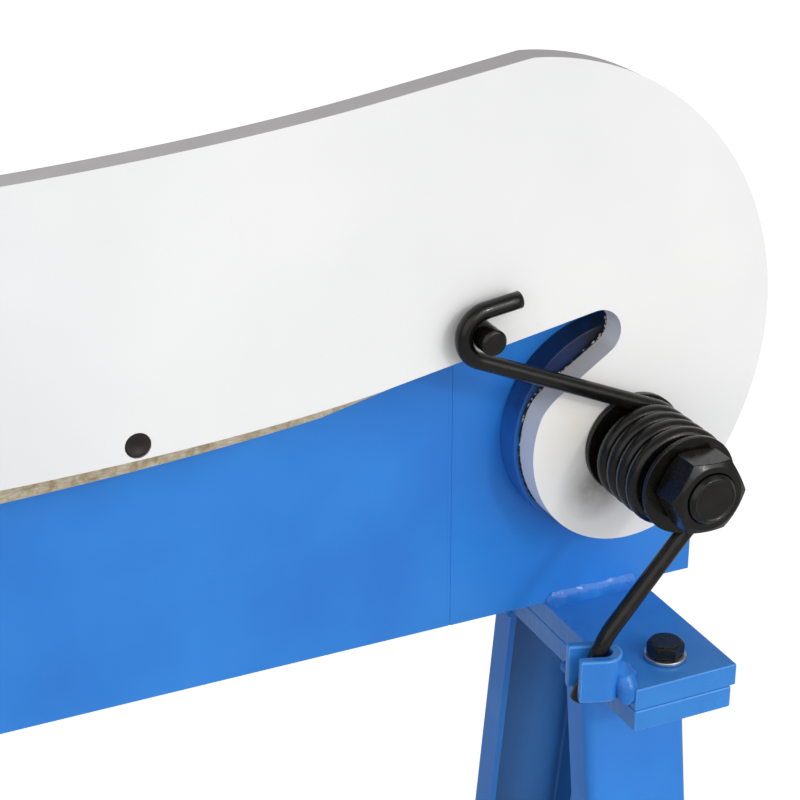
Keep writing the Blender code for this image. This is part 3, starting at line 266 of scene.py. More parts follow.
@dataclass(frozen=True)
class SprayedEnamel(Finish):
    """Alkyd enamel sprayed on steel: even colour, slight orange peel, a satin to half gloss."""

    shade: str = "#2A6CC4"
    roughness: float = 0.34
    mottle_mm: float = 70.0
    peel_mm: float = 2.2
    peel_depth_mm: float = 0.03
    fleck: str = "#6FA6EA"
    fleck_share: float = 0.12
    # Painted shade: a darker colour for the faces that look up, and its share where a face looks
    # straight up
    up_face_shade: str = ""
    up_face_shade_share: float = 0.55
    brushed: str = ""
    # Marks of a brush drawn down a plate's edge: about 1 mm apart and 9 mm long
    brush_scale: Point = (900.0, 900.0, 110.0)
    index: float = 1.5
    # Patches of grime and of painted shade round given points
    grime_and_shade_patches: tuple[GrimeAndShadePatch, ...] = ()

    def dress(self, surface: Surface) -> None:
        """Lay the colour with faint thick and thin areas, flecks, painted shade on faces that look
        up, brush strokes, patches of grime and painted shade, and orange peel.
        """
        cloud = surface.between(surface.noise(self.mottle_mm, 3.0), 0.36, 0.66)
        tone = surface.blend(cloud, self.colour, self.shade)
        speck = surface.between(surface.noise(1.4, 1.0), 0.74, 0.8, 0.0, self.fleck_share)
        tone = surface.blend(speck, tone, self.fleck)
        # Painted shade on the faces that look up
        if self.up_face_shade:
            tone = surface.faced(tone, self.up_face_shade, "Z", self.up_face_shade_share)
        if self.brushed:
            strokes = surface.between(surface.stretched(self.brush_scale), 0.36, 0.66, 0.05, 0.6)
            tone = surface.faced(tone, surface.blend(strokes, tone, self.brushed), "X", 1.0)
        # Patches of grime and painted shade
        for grime_shade in self.grime_and_shade_patches:
            tone = surface.add_grime_and_shade(tone, grime_shade)
        gloss = surface.between(surface.noise(18.0, 3.0), 0.3, 0.7, self.roughness - 0.05,
                                self.roughness + 0.07)
        surface.give({"Base Color": tone, "Roughness": gloss, "IOR": self.index})
        surface.emboss(surface.noise(self.peel_mm, 1.5), self.peel_depth_mm)


@dataclass(frozen=True)
class BlackOxide(Finish):
    """Steel blackened in a hot bath and oiled: near black, brownish in places, satin gloss."""

    tint: str = "#1C1712"
    roughness: float = 0.2

    def dress(self, surface: Surface) -> None:
        """Tint the black in patches, vary the oil's gloss and keep a fine machined grain."""
        patches = surface.between(surface.noise(9.0, 4.0), 0.42, 0.72)
        oil = surface.between(surface.noise(3.0, 3.0), 0.3, 0.7, self.roughness - 0.06,
                              self.roughness + 0.12)
        # The oil film, at about 1.45, is what reflects; the porous oxide under it takes the rest
        surface.give({"Base Color": surface.blend(patches, self.colour, self.tint),
                      "Roughness": oil, "IOR": 1.42})
        surface.emboss(surface.noise(0.9, 2.0), 0.012)


@dataclass(frozen=True)
class BareSteel(Finish):
    """Steel ground, drawn or plated: metal with fine lines along one direction and patches."""

    tint: str = "#A8ACB0"
    roughness: float = 0.3
    line_mm: Point = (0.8, 0.8, 0.8)
    patch_mm: float = 12.0
    line_depth_mm: float = 0.01
    contrast: float = 0.5
    metallic: float = 1.0

    def dress(self, surface: Surface) -> None:
        """Draw the lines as stretched noise, in colour, gloss and bump."""
        lines = surface.stretched(tuple(1 / (size * MM) for size in self.line_mm))
        fine = surface.between(lines, 0.3, 0.7, 0.0, self.contrast)
        patches = surface.between(surface.noise(self.patch_mm, 4.0, 0.6), 0.4, 0.7)
        toned = surface.blend(patches, self.colour, self.tint)
        gloss = surface.between(lines, 0.25, 0.75, self.roughness - 0.05, self.roughness + 0.12)
        surface.give({"Metallic": self.metallic, "Roughness": gloss,
                      "Base Color": surface.blend(fine, toned, self.tint)})
        surface.emboss(lines, self.line_depth_mm)


@dataclass(frozen=True)
class Moulding(Finish):
    """Moulded rubber or phenolic: dark, with a fine sparked grain from its mould."""

    sheen: str = "#2E2E30"
    roughness: float = 0.6
    grain_mm: float = 0.8
    grain_depth_mm: float = 0.04

    def dress(self, surface: Surface) -> None:
        """Grain the surface and let handling polish it in patches."""
        worn = surface.between(surface.noise(22.0, 3.0), 0.45, 0.75)
        polish = surface.between(surface.noise(16.0, 2.0), 0.3, 0.7, self.roughness - 0.1,
                                 self.roughness + 0.08)
        surface.give({"Base Color": surface.blend(worn, self.colour, self.sheen),
                      "Roughness": polish, "IOR": 1.5})
        surface.emboss(surface.noise(self.grain_mm, 2.0), self.grain_depth_mm)


# Blue enamel over the whole frame: clean, slightly cloudy, with a low gloss
BLUE = SprayedEnamel("blue_alkyd_enamel", "blue_enamel", "#2E88E0", shade="#267AD4")
# The same enamel where it gathers on welds and corners: thicker, glossier, a little darker
BLUE_THICK = SprayedEnamel("blue_enamel_on_weld", "blue_enamel", "#3283DA", shade="#2A76CC",
                           roughness=0.2, peel_mm=3.0, peel_depth_mm=0.12)
# Over the bead of a weld it lies lumpy and glossy, and breaks the light into glints
BLUE_BEAD = SprayedEnamel("blue_enamel_on_bead", "blue_enamel", "#3082DA", shade="#2A72C6",
                          roughness=0.14, mottle_mm=9.0, peel_mm=3.2, peel_depth_mm=0.2,
                          index=1.38)
# The disc behind the arm: the same enamel, darkened in the arm's notch by old grease and by
# painted shade
BLUE_DISC_GREASE_AND_SHADE = SprayedEnamel("blue_enamel_greased_and_shaded", "blue_enamel", "#2B78CE", shade="#2367B8",
                          roughness=0.4, peel_mm=3.0, peel_depth_mm=0.05,
                          # Painted shade with old grease: navy down the notch, near black at its
                          # closed end
                          grime_and_shade_patches=(GrimeAndShadePatch((-24.0, -12.0, 36.0), 40.0, "#0A2452", 2.4),
                                   GrimeAndShadePatch((-8.0, -12.0, 48.0), 22.0, "#0C1424", 2.0)))
# The foot plates' sawn ends were brushed over, which left pale strokes
BLUE_PLATE = SprayedEnamel("blue_enamel_brushed", "blue_enamel", "#3489DC", shade="#3080D2",
                           roughness=0.3, brushed="#6F90BC", mottle_mm=24.0)
# Painted shade inside the folded legs: a darker coat that stands in for the shade in the channels
BLUE_LEG_SHADE = SprayedEnamel("blue_enamel_painted_leg_shade", "blue_enamel", "#2666A8", shade="#205A98",
                          roughness=0.42)
# Painted highlight on broken edges: a paler, glossier enamel that stands in for the light the
# edges catch
BLUE_EDGE_HIGHLIGHT = SprayedEnamel("blue_enamel_edge_highlight", "blue_enamel", "#4C9AE8", shade="#3D8ADC",
                          roughness=0.26)
# White satin enamel of the arm, with painted shade on the faces that look up, grease and painted
# shade under the coil, a cream patch left of the coil and a grey patch by the pin
WHITE = SprayedEnamel(
    "white_satin_enamel", "white_enamel", "#F3F3F2", shade="#ECECEC", roughness=0.4,
    mottle_mm=110.0, peel_depth_mm=0.02, fleck="#D2D2D0", fleck_share=0.15,
    # Painted shade: the arm's faces that look up are greyed
    up_face_shade="#ACA6A8", up_face_shade_share=0.74,
    # Under the coil's lower left, grease and a painted shadow of the coil; then a cream patch left
    # of the coil and a grey patch by the pin
    grime_and_shade_patches=(GrimeAndShadePatch((-15.0, -23.6, -19.0), 15.0, "#6E6458", 0.95),
             GrimeAndShadePatch((-26.0, -23.6, 12.0), 26.0, "#E8E2D0", 0.6),
             GrimeAndShadePatch((-62.0, -23.6, 52.0), 24.0, "#C9C6BE", 0.35)))
# Paint cracks where the arm works against the disc; primer shows in the chips
CRACK = BlackOxide("greased_paint_crack", "white_enamel", "#141416", roughness=0.5)
PRIMER = SprayedEnamel("chipped_primer", "white_enamel", "#C4BEB8", shade="#8E8780",
                       roughness=0.55, mottle_mm=2.0)
# Fasteners and spring: black oxide under oil, so edges catch thin white lines
BLACK = BlackOxide("oiled_black_oxide", "black_oxide", "#0F0F0D")
# Both knives: ground lengthways, under a film of tarnish that goes from straw to brown
KNIFE = BareSteel("ground_tool_steel", "tool_steel", "#D6CDB6", tint="#A08C68", roughness=0.5,
                  line_mm=(3.6, 1.6, 0.8), patch_mm=3.6, contrast=0.55, metallic=0.35)
# The whetted edge itself, bright because it was ground last, and lighter still as a painted
# highlight
KNIFE_EDGE_HIGHLIGHT = BareSteel("whetted_tool_steel_highlight", "tool_steel", "#ECE8E0", tint="#D4CDC0",
                       roughness=0.3, line_mm=(0.6, 3.0, 3.0), contrast=0.3, metallic=0.6)
# Zinc plated washers and studs: pale, faintly crystalline
ZINC = BareSteel("bright_zinc_plate", "zinc_plate", "#CFD1D2", tint="#A9ADB0", roughness=0.34,
                 line_mm=(1.2, 1.2, 1.2), patch_mm=5.0, line_depth_mm=0.003, contrast=0.4)
# Cold drawn rods: lines along the rod
DRAWN = BareSteel("cold_drawn_steel", "bright_steel", "#C6C8CA", tint="#9EA2A6", roughness=0.24,
                  line_mm=(0.7, 40.0, 0.7), patch_mm=30.0, contrast=0.5)
# Nitrile rubber of grip and buffer: matt and slightly worn
RUBBER = Moulding("nitrile_rubber", "rubber", "#1B1B1C", roughness=0.74, grain_mm=0.9)
# The knife's screws, which nobody oils: brownish and dull
SCREW = BlackOxide("dry_black_oxide", "black_oxide", "#1C1917", tint="#30261F", roughness=0.46)
# Star knobs of moulded phenolic: satin black
PHENOLIC = Moulding("moulded_phenolic", "black_plastic", "#151516", sheen="#222224",
                    roughness=0.4, grain_mm=0.6, grain_depth_mm=0.015)
# Filled graduation lines of the fence
INK = Moulding("graduation_fill", "black_oxide", "#202022", roughness=0.55)


@cache
def material_of(finish: Finish) -> bpy.types.Material:
    """Make the material of a finish, once.

    Args:
        finish: The finish to make.

    Returns:
        Its node-based material.
    """
    material = bpy.data.materials.new(finish.name)
    material.use_nodes = True
    tree = material.node_tree
    where = add_node(tree, "ShaderNodeTexCoord").outputs["Object"]
    finish.dress(Surface(tree, tree.nodes["Principled BSDF"], where))
    return material


def polar(centre: Pair, radius: float, turn: float) -> Pair:
    """Give the point at a turn, in degrees, on a circle."""
    angle = math.radians(turn)
    return (centre[0] + radius * math.cos(angle), centre[1] + radius * math.sin(angle))


def spread(first: float, last: float, step: float) -> list[float]:
    """Space values evenly from first to last, at most a step apart."""
    count = max(1, math.ceil(abs(last - first) / step))
    return [first + (last - first) * index / count for index in range(count + 1)]


def arc(centre: Pair, radius: float, start: float, end: float, step: float = 2.0) -> list[Pair]:
    """Lay points along an arc.

    Args:
        centre: The circle's centre.
        radius: Its radius.
        start: First turn in degrees.
        end: Last turn in degrees.
        step: Largest turn between points.

    Returns:
        The points, both ends included.
    """
    return [polar(centre, radius, turn) for turn in spread(start, end, step)]


def box_outline(low: Pair, high: Pair) -> list[Pair]:
    """Outline a rectangle between two corners."""
    return [low, (high[0], low[1]), high, (low[0], high[1])]


def bar(radius: float, low: float, high: float) -> list[Pair]:
    """Give the profile of a plain round bar, as pairs of radius and place along its axis."""
    return [(0, low), (radius, low), (radius, high), (0, high)]


def collar(bore: float, radius: float, low: float, high: float) -> list[Pair]:
    """Give the closed profile of a plain ring."""
    return [(bore, low), (radius, low), (radius, high), (bore, high)]


def resampled(path: Sequence[Point], step: float) -> list[Vector]:
    """Lay points evenly along a path of straight runs.

    Args:
        path: Corner points in millimetres.
        step: Largest distance between points.

    Returns:
        The points, the path's own corners among them.
    """
    points = [Vector(path[0])]
    for before, after in zip(path, path[1:]):
        run = Vector(after) - Vector(before)
        count = max(1, math.ceil(run.length / step))
        points += [Vector(before) + run * i / count for i in range(1, count + 1)]
    return points


class Shape:
    """A mesh in the making, in millimetres from the pivot."""

    def __init__(self) -> None:
        """Start with nothing."""
        self.mesh = bmesh.new()

    @classmethod
    def from_node(cls, node: str) -> Shape:
        """Start from the solid of a CAD node.

        Args:
            node: The node's name.

        Returns:
            A shape with the node's faces.
        """
        shape = cls()
        shape.mesh.from_mesh(frame["nodes"][node].data)
        return shape.moved(TO_ROW.inverted())

    def skin(self, rings: Sequence[Sequence[Point]], closed: bool = False) -> Shape:
        """Join rings of points with faces.

        Args:
            rings: Rings of as many points each, or of one point for a tip.
            closed: Whether the last ring joins the first.

        Returns:
            The shape itself.
        """
        laid = [[self.mesh.verts.new(point) for point in ring] for ring in rings]
        pairs = list(zip(laid, laid[1:])) + ([(laid[-1], laid[0])] if closed else [])
        for lower, upper in pairs:
            sides = max(len(lower), len(upper))
            for side in range(sides):
                after = (side + 1) % sides
                corners = [lower[side % len(lower)], lower[after % len(lower)],
                           upper[after % len(upper)], upper[side % len(upper)]]
                self.mesh.faces.new(list(dict.fromkeys(corners)))
        if not closed:
            for ring in (laid[0], laid[-1]):
                if len(ring) > 2:
                    self.mesh.faces.new(ring)
        return self

    def turned(self, profile: Sequence[Pair], axis: Axis, centre: Pair, sides: int = 64,
               closed: bool = False, lobes: Callable[[float], float] | None = None) -> Shape:
        """Turn a profile round an axis.

        Args:
            profile: Pairs of radius and place along the axis.
            axis: The direction of the axis.
            centre: Where the axis stands.
            sides: Points round the axis.
            closed: Whether the profile closes on itself, as a ring's does.
            lobes: Share of the radius at a turn in degrees, for a shape that isn't round.

        Returns:
            The shape itself.
        """
        rings = []
        for radius, along in profile:
            turns = [360 * side / sides for side in range(sides if radius else 1)]
            spots = [polar(centre, radius * (lobes(turn) if lobes else 1), turn) for turn in turns]
            rings.append([axis.place(u, v, along) for u, v in spots])
        return self.skin(rings, closed)

    def plate(self, outline: Sequence[Pair], axis: Axis, low: float, high: float,
              holes: Iterable[tuple[Pair, float]] = ()) -> Shape:
        """Extrude an outline with round holes.

        Args:
            outline: Corners of the outline.
            axis: Direction of the thickness.
            low: First face along the axis.
            high: Second face along the axis.
            holes: Centre and radius of each hole.

        Returns:
            The shape itself.
        """
        loops = [list(outline)] + [arc(spot, radius, 0, 345, 15) for spot, radius in holes]
        flat = [[Vector((u, v, 0)) for u, v in loop] for loop in loops]
        places = [pair for loop in loops for pair in loop]
        faces = tessellate_polygon(flat)
        sheets = []
        for along in (low, high):
            corners = [self.mesh.verts.new(axis.place(u, v, along)) for u, v in places]
            for face in faces:
                self.mesh.faces.new([corners[index] for index in face])
            sheets.append(corners)
        start = 0
        for loop in loops:
            for index in range(len(loop)):
                here, after = start + index, start + (index + 1) % len(loop)
                self.mesh.faces.new([sheets[0][here], sheets[0][after], sheets[1][after],
                                     sheets[1][here]])
            start += len(loop)
        return self

    def hexagon(self, axis: Axis, centre: Pair, across: float, low: float, high: float,
                bore: float = 0.0, chamfer_low: bool = True, chamfer_high: bool = True,
                turned_by: float = 0.0) -> Shape:
        """Add a hexagon head or nut whose corners are turned down to 30 degrees.

        Args:
            axis: Direction of its height.
            centre: Where its axis stands.
            across: Width across flats.
            low: Lower face along the axis.
            high: Upper face along the axis.
            bore: Radius of its hole, 0 for none.
            chamfer_low: Whether the lower corners are turned down.
            chamfer_high: Whether the upper corners are turned down.
            turned_by: Turn of the whole hexagon in degrees.

        Returns:
            The shape itself.
        """
        turns = [2.5 * step for step in range(144)]
        reach = [across / 2 / math.cos(math.radians((turn + 30) % 60 - 30)) for turn in turns]
        face = across * 0.455

        def ring(radii: Sequence[float], ends: Sequence[float]) -> list[Point]:
            """Lay one ring round the hexagon."""
            spots = [polar(centre, radius, turn + turned_by)
                     for radius, turn in zip(radii, turns)]
            return [axis.place(u, v, along) for (u, v), along in zip(spots, ends)]

        drops = [(radius - face) * math.tan(math.radians(30)) for radius in reach]
        flat = [face] * len(turns)
        lows = [low + drop * chamfer_low for drop in drops]
        highs = [high - drop * chamfer_high for drop in drops]
        rings = [ring(flat, [low] * len(turns)), ring(reach, lows), ring(reach, highs),
                 ring(flat, [high] * len(turns))]
        if bore:
            inner = [bore] * len(turns)
            rings = [ring(inner, [low] * len(turns)), *rings, ring(inner, [high] * len(turns))]
        return self.skin(rings, closed=bool(bore))

    def swept(self, path: Sequence[Vector], radii: Sequence[float], sides: int = 16) -> Shape:
        """Sweep a circle along a path.

        Args:
            path: Points of the centre line.
            radii: The circle's radius at each point.
            sides: Points round the circle.

        Returns:
            The shape itself, with rounded ends.
        """
        count = len(path)
        aims = [(path[min(i + 1, count - 1)] - path[max(i - 1, 0)]).normalized()
                for i in range(count)]
        side = aims[0].orthogonal().normalized()
        rings = []
        for spot, aim, radius in zip(path, aims, radii):
            side = (side - aim * side.dot(aim)).normalized()
            up = aim.cross(side)
            rings.append([tuple(spot + radius * (side * math.cos(turn) + up * math.sin(turn)))
                          for turn in (2 * math.pi * k / sides for k in range(sides))])
        for end, first in ((0, True), (-1, False)):
            outward = -aims[end] if first else aims[end]
            spot, radius = path[end], radii[end]
            cap = [tuple(spot + outward * radius * 0.12 + (Vector(point) - spot) * 0.86)
                   for point in rings[end]]
            rings.insert(0 if first else len(rings), cap)
        return self.skin(rings)

    def moved(self, matrix: Matrix) -> Shape:
        """Move all that was built so far by a matrix in millimetres."""
        bmesh.ops.transform(self.mesh, matrix=matrix, verts=self.mesh.verts)
        return self

    def thing(self, name: str, finish: Finish, sharp: float) -> bpy.types.Object:
        """Turn the mesh into an object, smooth but for edges from sharp degrees on."""
        bmesh.ops.recalc_face_normals(self.mesh, faces=self.mesh.faces)
        self.moved(TO_ROW)
        mesh = bpy.data.meshes.new(name)
        self.mesh.to_mesh(mesh)
        self.mesh.free()
        mesh.materials.append(material_of(finish))
        mesh.shade_smooth()
        mesh.set_sharp_from_angle(angle=math.radians(sharp))
        return placed(bpy.data.objects.new(name, mesh))

    def piece(self, name: str, finish: Finish, nodes: Sequence[str] = (), body: str = "frame",
              edge: float = 0.0, edge_finish: Finish | None = None, sharp: float = 34.0
              ) -> bpy.types.Object:
        """Make the shape a piece of the scene that rides on its body.

        Args:
            name: The piece's name.
            finish: Its surface finish.
            nodes: CAD nodes that it stands for, all of one body.
            body: Its body, where it stands for no node.
            edge: Radius of its broken edges, 0 for none.
            edge_finish: Another finish for the broken edges, lighter as a painted highlight.
            sharp: Angle in degrees from which an edge is sharp.

        Returns:
            The new object.
        """
        bmesh.ops.remove_doubles(self.mesh, verts=self.mesh.verts, dist=0.002)
        bmesh.ops.dissolve_limit(self.mesh, angle_limit=math.radians(0.4),
                                 verts=self.mesh.verts, edges=self.mesh.edges)
        thing = self.thing(name, finish, sharp)
        if edge:
            rounding = thing.modifiers.new("broken edges", "BEVEL")
            rounding.width = edge * MM
            rounding.segments = 2
            rounding.limit_method = "ANGLE"
            rounding.angle_limit = math.radians(sharp)
            rounding.harden_normals = True
            rounding.use_clamp_overlap = True
            rounding.loop_slide = False
            if edge_finish:
                thing.data.materials.append(material_of(edge_finish))
                rounding.material = 1
        if nodes:
            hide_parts(*nodes)
            body = frame["nodes"][nodes[0]]["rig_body"]
        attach(thing, body)
        LOG.info("%s: %d faces, rides on %s", name, len(thing.data.polygons), body)
        return thing


def reach_of(node: str) -> tuple[Vector, Vector]:
    """Give a CAD node's lowest and highest corners in millimetres from the pivot."""
    low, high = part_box(node)
    return (low - PIVOT) / MM, (high - PIVOT) / MM


@dataclass(frozen=True)
class Upright:
    """Where a round CAD node stands: its middle, its two ends along its axis and its radius."""

    spot: Pair
    low: float
    high: float
    radius: float

    @classmethod
    def of(cls, node: str, axis: Axis = Axis.Z) -> Upright:
        """Measure a CAD node that is round about Y or Z."""
        low, high = reach_of(node)
        across, along = ("z", "y") if axis is Axis.Y else ("y", "z")
        spot = tuple((getattr(low, part) + getattr(high, part)) / 2 for part in ("x", across))
        return cls(spot, getattr(low, along), getattr(high, along), (high.x - low.x) / 2)


@dataclass(frozen=True)
class Weld:
    """A fillet weld along a corner, with the ripples of its pool, under paint."""

    name: str
    path: tuple[Point, ...]
    radius: float = 3.0
    body: str = "frame"
    ripple_mm: float = 1.9
    finish: Finish = BLUE_BEAD

    def lay(self) -> bpy.types.Object:
        """Sweep the bead along its path and add it to the scene."""
        chance = random.Random(self.name)
        points = resampled(self.path, self.ripple_mm / 4)
        swell = [chance.uniform(0.86, 1.1) for _ in range(len(points) // 14 + 2)]
        radii = []
        for index in range(len(points)):
            part, share = divmod(index / 14, 1)
            wide = swell[int(part)] * (1 - share) + swell[int(part) + 1] * share
            radii.append(self.radius * wide * (1 + 0.07 * math.sin(index * math.pi / 2)))
        return Shape().swept(points, radii, 12).piece(self.name, self.finish, body=self.body,
                                                      sharp=80.0)


@dataclass(frozen=True)
class Fillet:
    """A hollow fillet weld along X between a plate and the face that stands on it."""

    name: str
    corner: Point
    length: float
    outward: float
    leg: float = 4.6
    step: float = 0.5

    def lay(self) -> bpy.types.Object:
        """Loft the fillet's hollow section along the corner, with ripples and uneven toes."""
        chance = random.Random(self.name)
        count = math.ceil(self.length / self.step)
        swell = [(chance.uniform(0.84, 1.08), chance.uniform(0.84, 1.08))
                 for _ in range(count // 7 + 2)]
        rings = []
        for index in range(count + 1):
            part, share = divmod(index / 7, 1)
            share = share * share * (3 - 2 * share)
            before, after = swell[int(part)], swell[int(part) + 1]
            ends = min(1.0, 0.35 + min(index, count - index) / 8)
            ripple = 1 + 0.015 * math.sin(index * 1.7)
            up, out = (self.leg * ends * ripple * (a * (1 - share) + b * share)
                       for a, b in zip(before, after))
            x = self.corner[0] + self.length * index / count
            section = [(-0.3, -0.3), (out, -0.3)]
            for turn in range(7):
                t = turn / 6
                section.append((0.15 + out * (1 - t) ** 2 + 0.6 * out * t * (1 - t),
                                0.15 + up * t ** 2 + 0.6 * up * t * (1 - t)))
            section.append((-0.3, up))
            rings.append([(x, self.corner[1] + self.outward * v, self.corner[2] + w)
                          for v, w in section])
        return Shape().skin(rings).piece(self.name, BLUE_BEAD, sharp=70.0)


@dataclass(frozen=True)
class KnifeCurve:
    """The curve of the upper knife's edge, which meets the cutting line at one angle."""

    cutting_line: float = 62.0
    shear_angle: float = 8.0
    closing_reach: float = 856.0

    def height(self, x: float) -> float:
        """Give the edge's height at x, with the arm closed."""
        reach = -x
        slope = math.radians(self.shear_angle)
        return self.cutting_line + slope * reach * math.log(reach / self.closing_reach)


@dataclass(frozen=True)
class Arm:
    """The swing arm: its plate, the knife behind it, the knife's screws and the spring's pin."""

    curve: KnifeCurve = KnifeCurve()
    front: float = -23.6
    back: float = -12.0
    knife_front: float = -11.7
    knife_back: float = -0.3
    knife_shows: float = 9.0
    knife_shows_more: float = 4.0
    strip_widens: Pair = (110.0, 260.0)
    over_edge: float = 117.0
    tip_over_edge: float = 97.0
    taper_from: float = -300.0
    left: float = -985.0
    corner: float = 12.0
    straight_from: float = -110.0
    boss: float = 43.4
    boss_start: float = 160.0
    tail_centre: Pair = (-53.4, 44.2)
    tail_top_x: float = -48.0
    notch_end: Pair = (-16.8, 46.8)
    notch_radius: float = 9.7
    notch_top: float = 100.0
    notch_run: float = 18.0
    notch_run_turn: float = 214.5
    knife_left: float = -878.0
    knife_right: float = -78.0
    knife_height: float = 40.0
    relief: Pair = (48.0, 3.3)
    screw_x: tuple[float, ...] = (-199.2, -499.2, -799.2)
    screw_above_edge: float = 15.7
    screw_radius: float = 4.65
    bore: float = 10.3
    pin: Pair = (-68.6, 57.6)
    pin_radius: float = 5.0
    pin_front: float = -38.6

    def lower_edge(self, x: float) -> float:
        """Give the height of the plate's lower edge at x."""
        start, over = self.strip_widens
        share = min(1.0, max(0.0, (-x - start) / over))
        widened = share * share * (3 - 2 * share)
        return self.curve.height(x) + self.knife_shows + self.knife_shows_more * widened

    def upper_edge(self, x: float) -> float:
        """Give the height of the plate's upper edge at x."""
        taper = max(0.0, (x - self.taper_from) / (self.left - self.taper_from))
        over_edge = self.over_edge + (self.tip_over_edge - self.over_edge) * taper
        return self.curve.height(x) + over_edge

    def outline(self) -> list[Pair]:
        """Lay out the plate: knife edge, notch, boss, round tail, top edge and tip.

        Returns:
            The outline's corners, anticlockwise from the tip's lower corner.
        """
        tip = self.left + self.corner
        along = spread(tip, self.straight_from, 12.0)
        points = [(x, self.lower_edge(x)) for x in along]
        run_turn = self.notch_run_turn
        points += arc(self.notch_end, self.notch_radius, self.notch_top, run_turn - 270, 6.0)
        points.append(polar(points[-1], self.notch_run, run_turn))
        points += self.boss_shoulder(points[-1])
        tail_turn = math.degrees(math.atan2(-self.tail_centre[1], -self.tail_centre[0]))
        points += arc((0, 0), self.boss, self.boss_start, tail_turn + 360, 3.0)[:-1]
        tail_radius = self.boss + math.hypot(*self.tail_centre)
        top_turn = math.degrees(math.acos((self.tail_top_x - self.tail_centre[0]) / tail_radius))
        points += arc(self.tail_centre, tail_radius, tail_turn, top_turn)
        points += [(x, self.upper_edge(x)) for x in reversed(along[1:])]
        points += arc((tip, self.upper_edge(tip) - self.corner), self.corner, 90, 180, 9.0)
        points += arc((tip, self.lower_edge(tip) + self.corner), self.corner, 180, 270, 9.0)[:-1]
        return points

    def boss_shoulder(self, start: Pair) -> list[Pair]:
        """Round the outline from the notch's straight run into the boss."""
        end = polar((0, 0), self.boss, self.boss_start)
        reach = math.dist(start, end) / 3
        first = polar(start, reach, self.notch_run_turn)
        second = polar(end, -reach, self.boss_start + 90)
        points = []
        for step in range(1, 8):
            t = step / 8
            shares = ((1 - t) ** 3, 3 * t * (1 - t) ** 2, 3 * t ** 2 * (1 - t), t ** 3)
            corners = (start, first, second, end)
            points.append((sum(s * c[0] for s, c in zip(shares, corners)),
                           sum(s * c[1] for s, c in zip(shares, corners))))
        return points

    def build_crack(self) -> None:
        """Run a ragged crack along the foot of the boss's wall, with chips of primer by it."""
        chance = random.Random("paint crack")
        wall = arc(self.notch_end, self.notch_radius, 20.0, self.notch_run_turn - 270, 6.0)
        wall.append(polar(wall[-1], self.notch_run, self.notch_run_turn))
        wall += self.boss_shoulder(wall[-1])
        wall += arc((0, 0), self.boss, self.boss_start, 215.0, 3.0)
        depth = self.back - 0.5
        path = resampled([(x, depth, z) for x, z in wall], 0.9)
        radii, shifted = [], []
        for spot in path:
            radii.append(chance.uniform(0.15, 0.62))
            aside, up = chance.uniform(-0.3, 0.3), chance.uniform(-0.3, 0.3)
            shifted.append(spot + Vector((aside, 0, up)))
        Shape().swept(shifted, radii, 6).piece("arm_paint_crack", CRACK, body="arm", sharp=60)
        chips = Shape()
        for _ in range(26):
            start = chance.randrange(3, len(path) * 3 // 5)
            aside, up = chance.uniform(-1.0, 0.2), chance.uniform(-0.2, 1.0)
            spot = path[start] + Vector((aside, -0.3, up))
            along = (path[start + 1] - path[start]).normalized() * chance.uniform(0.5, 1.6)
            thick = chance.uniform(0.2, 0.5)
            chips.swept([spot, spot + along * 0.5, spot + along],
                        [thick * 0.6, thick, thick * 0.5], 5)
        chips.piece("arm_paint_chips", PRIMER, body="arm", sharp=60)

    def build(self) -> None:
        """Build the plate with its holes, the knife, its screws and the pin."""
        screws = [(x, self.curve.height(x) + self.screw_above_edge) for x in self.screw_x]
        holes = [((0.0, 0.0), self.bore), (self.pin, self.pin_radius + 0.3)]
        holes += [(spot, self.screw_radius + 0.2) for spot in screws]
        holes += [(spot, Handle.screw_radius + 0.3) for spot in Handle().screw_places()]
        Shape().plate(self.outline(), Axis.Y, self.front, self.back, holes).piece(
            "arm_plate_painted", WHITE, ["arm_plate"], edge=0.5)
        length, rise = self.relief
        along = spread(self.knife_left, self.knife_right - length, 10.0)
        end = self.curve.height(self.knife_right)
        strip = [(x, self.curve.height(x)) for x in along]
        strip += [(self.knife_right, end + rise), (self.knife_right, end + self.knife_height)]
        strip += [(x, self.curve.height(x) + self.knife_height) for x in reversed(along)]
        # The knife's broken edges: bright ground steel, lighter still as a painted highlight
        Shape().plate(strip, Axis.Y, self.knife_front, self.knife_back,
                      [(spot, self.screw_radius + 0.2) for spot in screws]).piece(
            "upper_knife_ground", KNIFE, ["upper_knife"], edge=0.7, edge_finish=KNIFE_EDGE_HIGHLIGHT)
        for index, spot in enumerate(screws):
            self.build_screw(f"knife_screw_{index + 1}", spot)
        self.build_pin()
        self.build_crack()

    def build_screw(self, node: str, spot: Pair) -> None:
        """Build a knife screw, whose end lies flush in the plate."""
        face, radius = self.front, self.screw_radius
        profile = [(0, face + 0.35), (radius * 0.45, face + 0.3), (radius * 0.52, face + 0.05),
                   (radius - 0.5, face), (radius, face + 0.5), (radius, self.knife_back - 0.3),
                   (0, self.knife_back - 0.3)]
        Shape().turned(profile, Axis.Y, spot, 40).piece(node + "_dry", SCREW, [node], sharp=40)

    def build_pin(self) -> None:
        """Build the pin that the spring hooks round, with its turned end."""
        radius, face = self.pin_radius, self.pin_front
        profile = [(0, face), (radius - 1.1, face), (radius - 0.9, face + 0.05),
                   (radius, face + 1.0), (radius, self.back), (0, self.back)]
        Shape().turned(profile, Axis.Y, self.pin, 48).piece("spring_pin_oiled", BLACK,
                                                            ["spring_pin"], sharp=40)


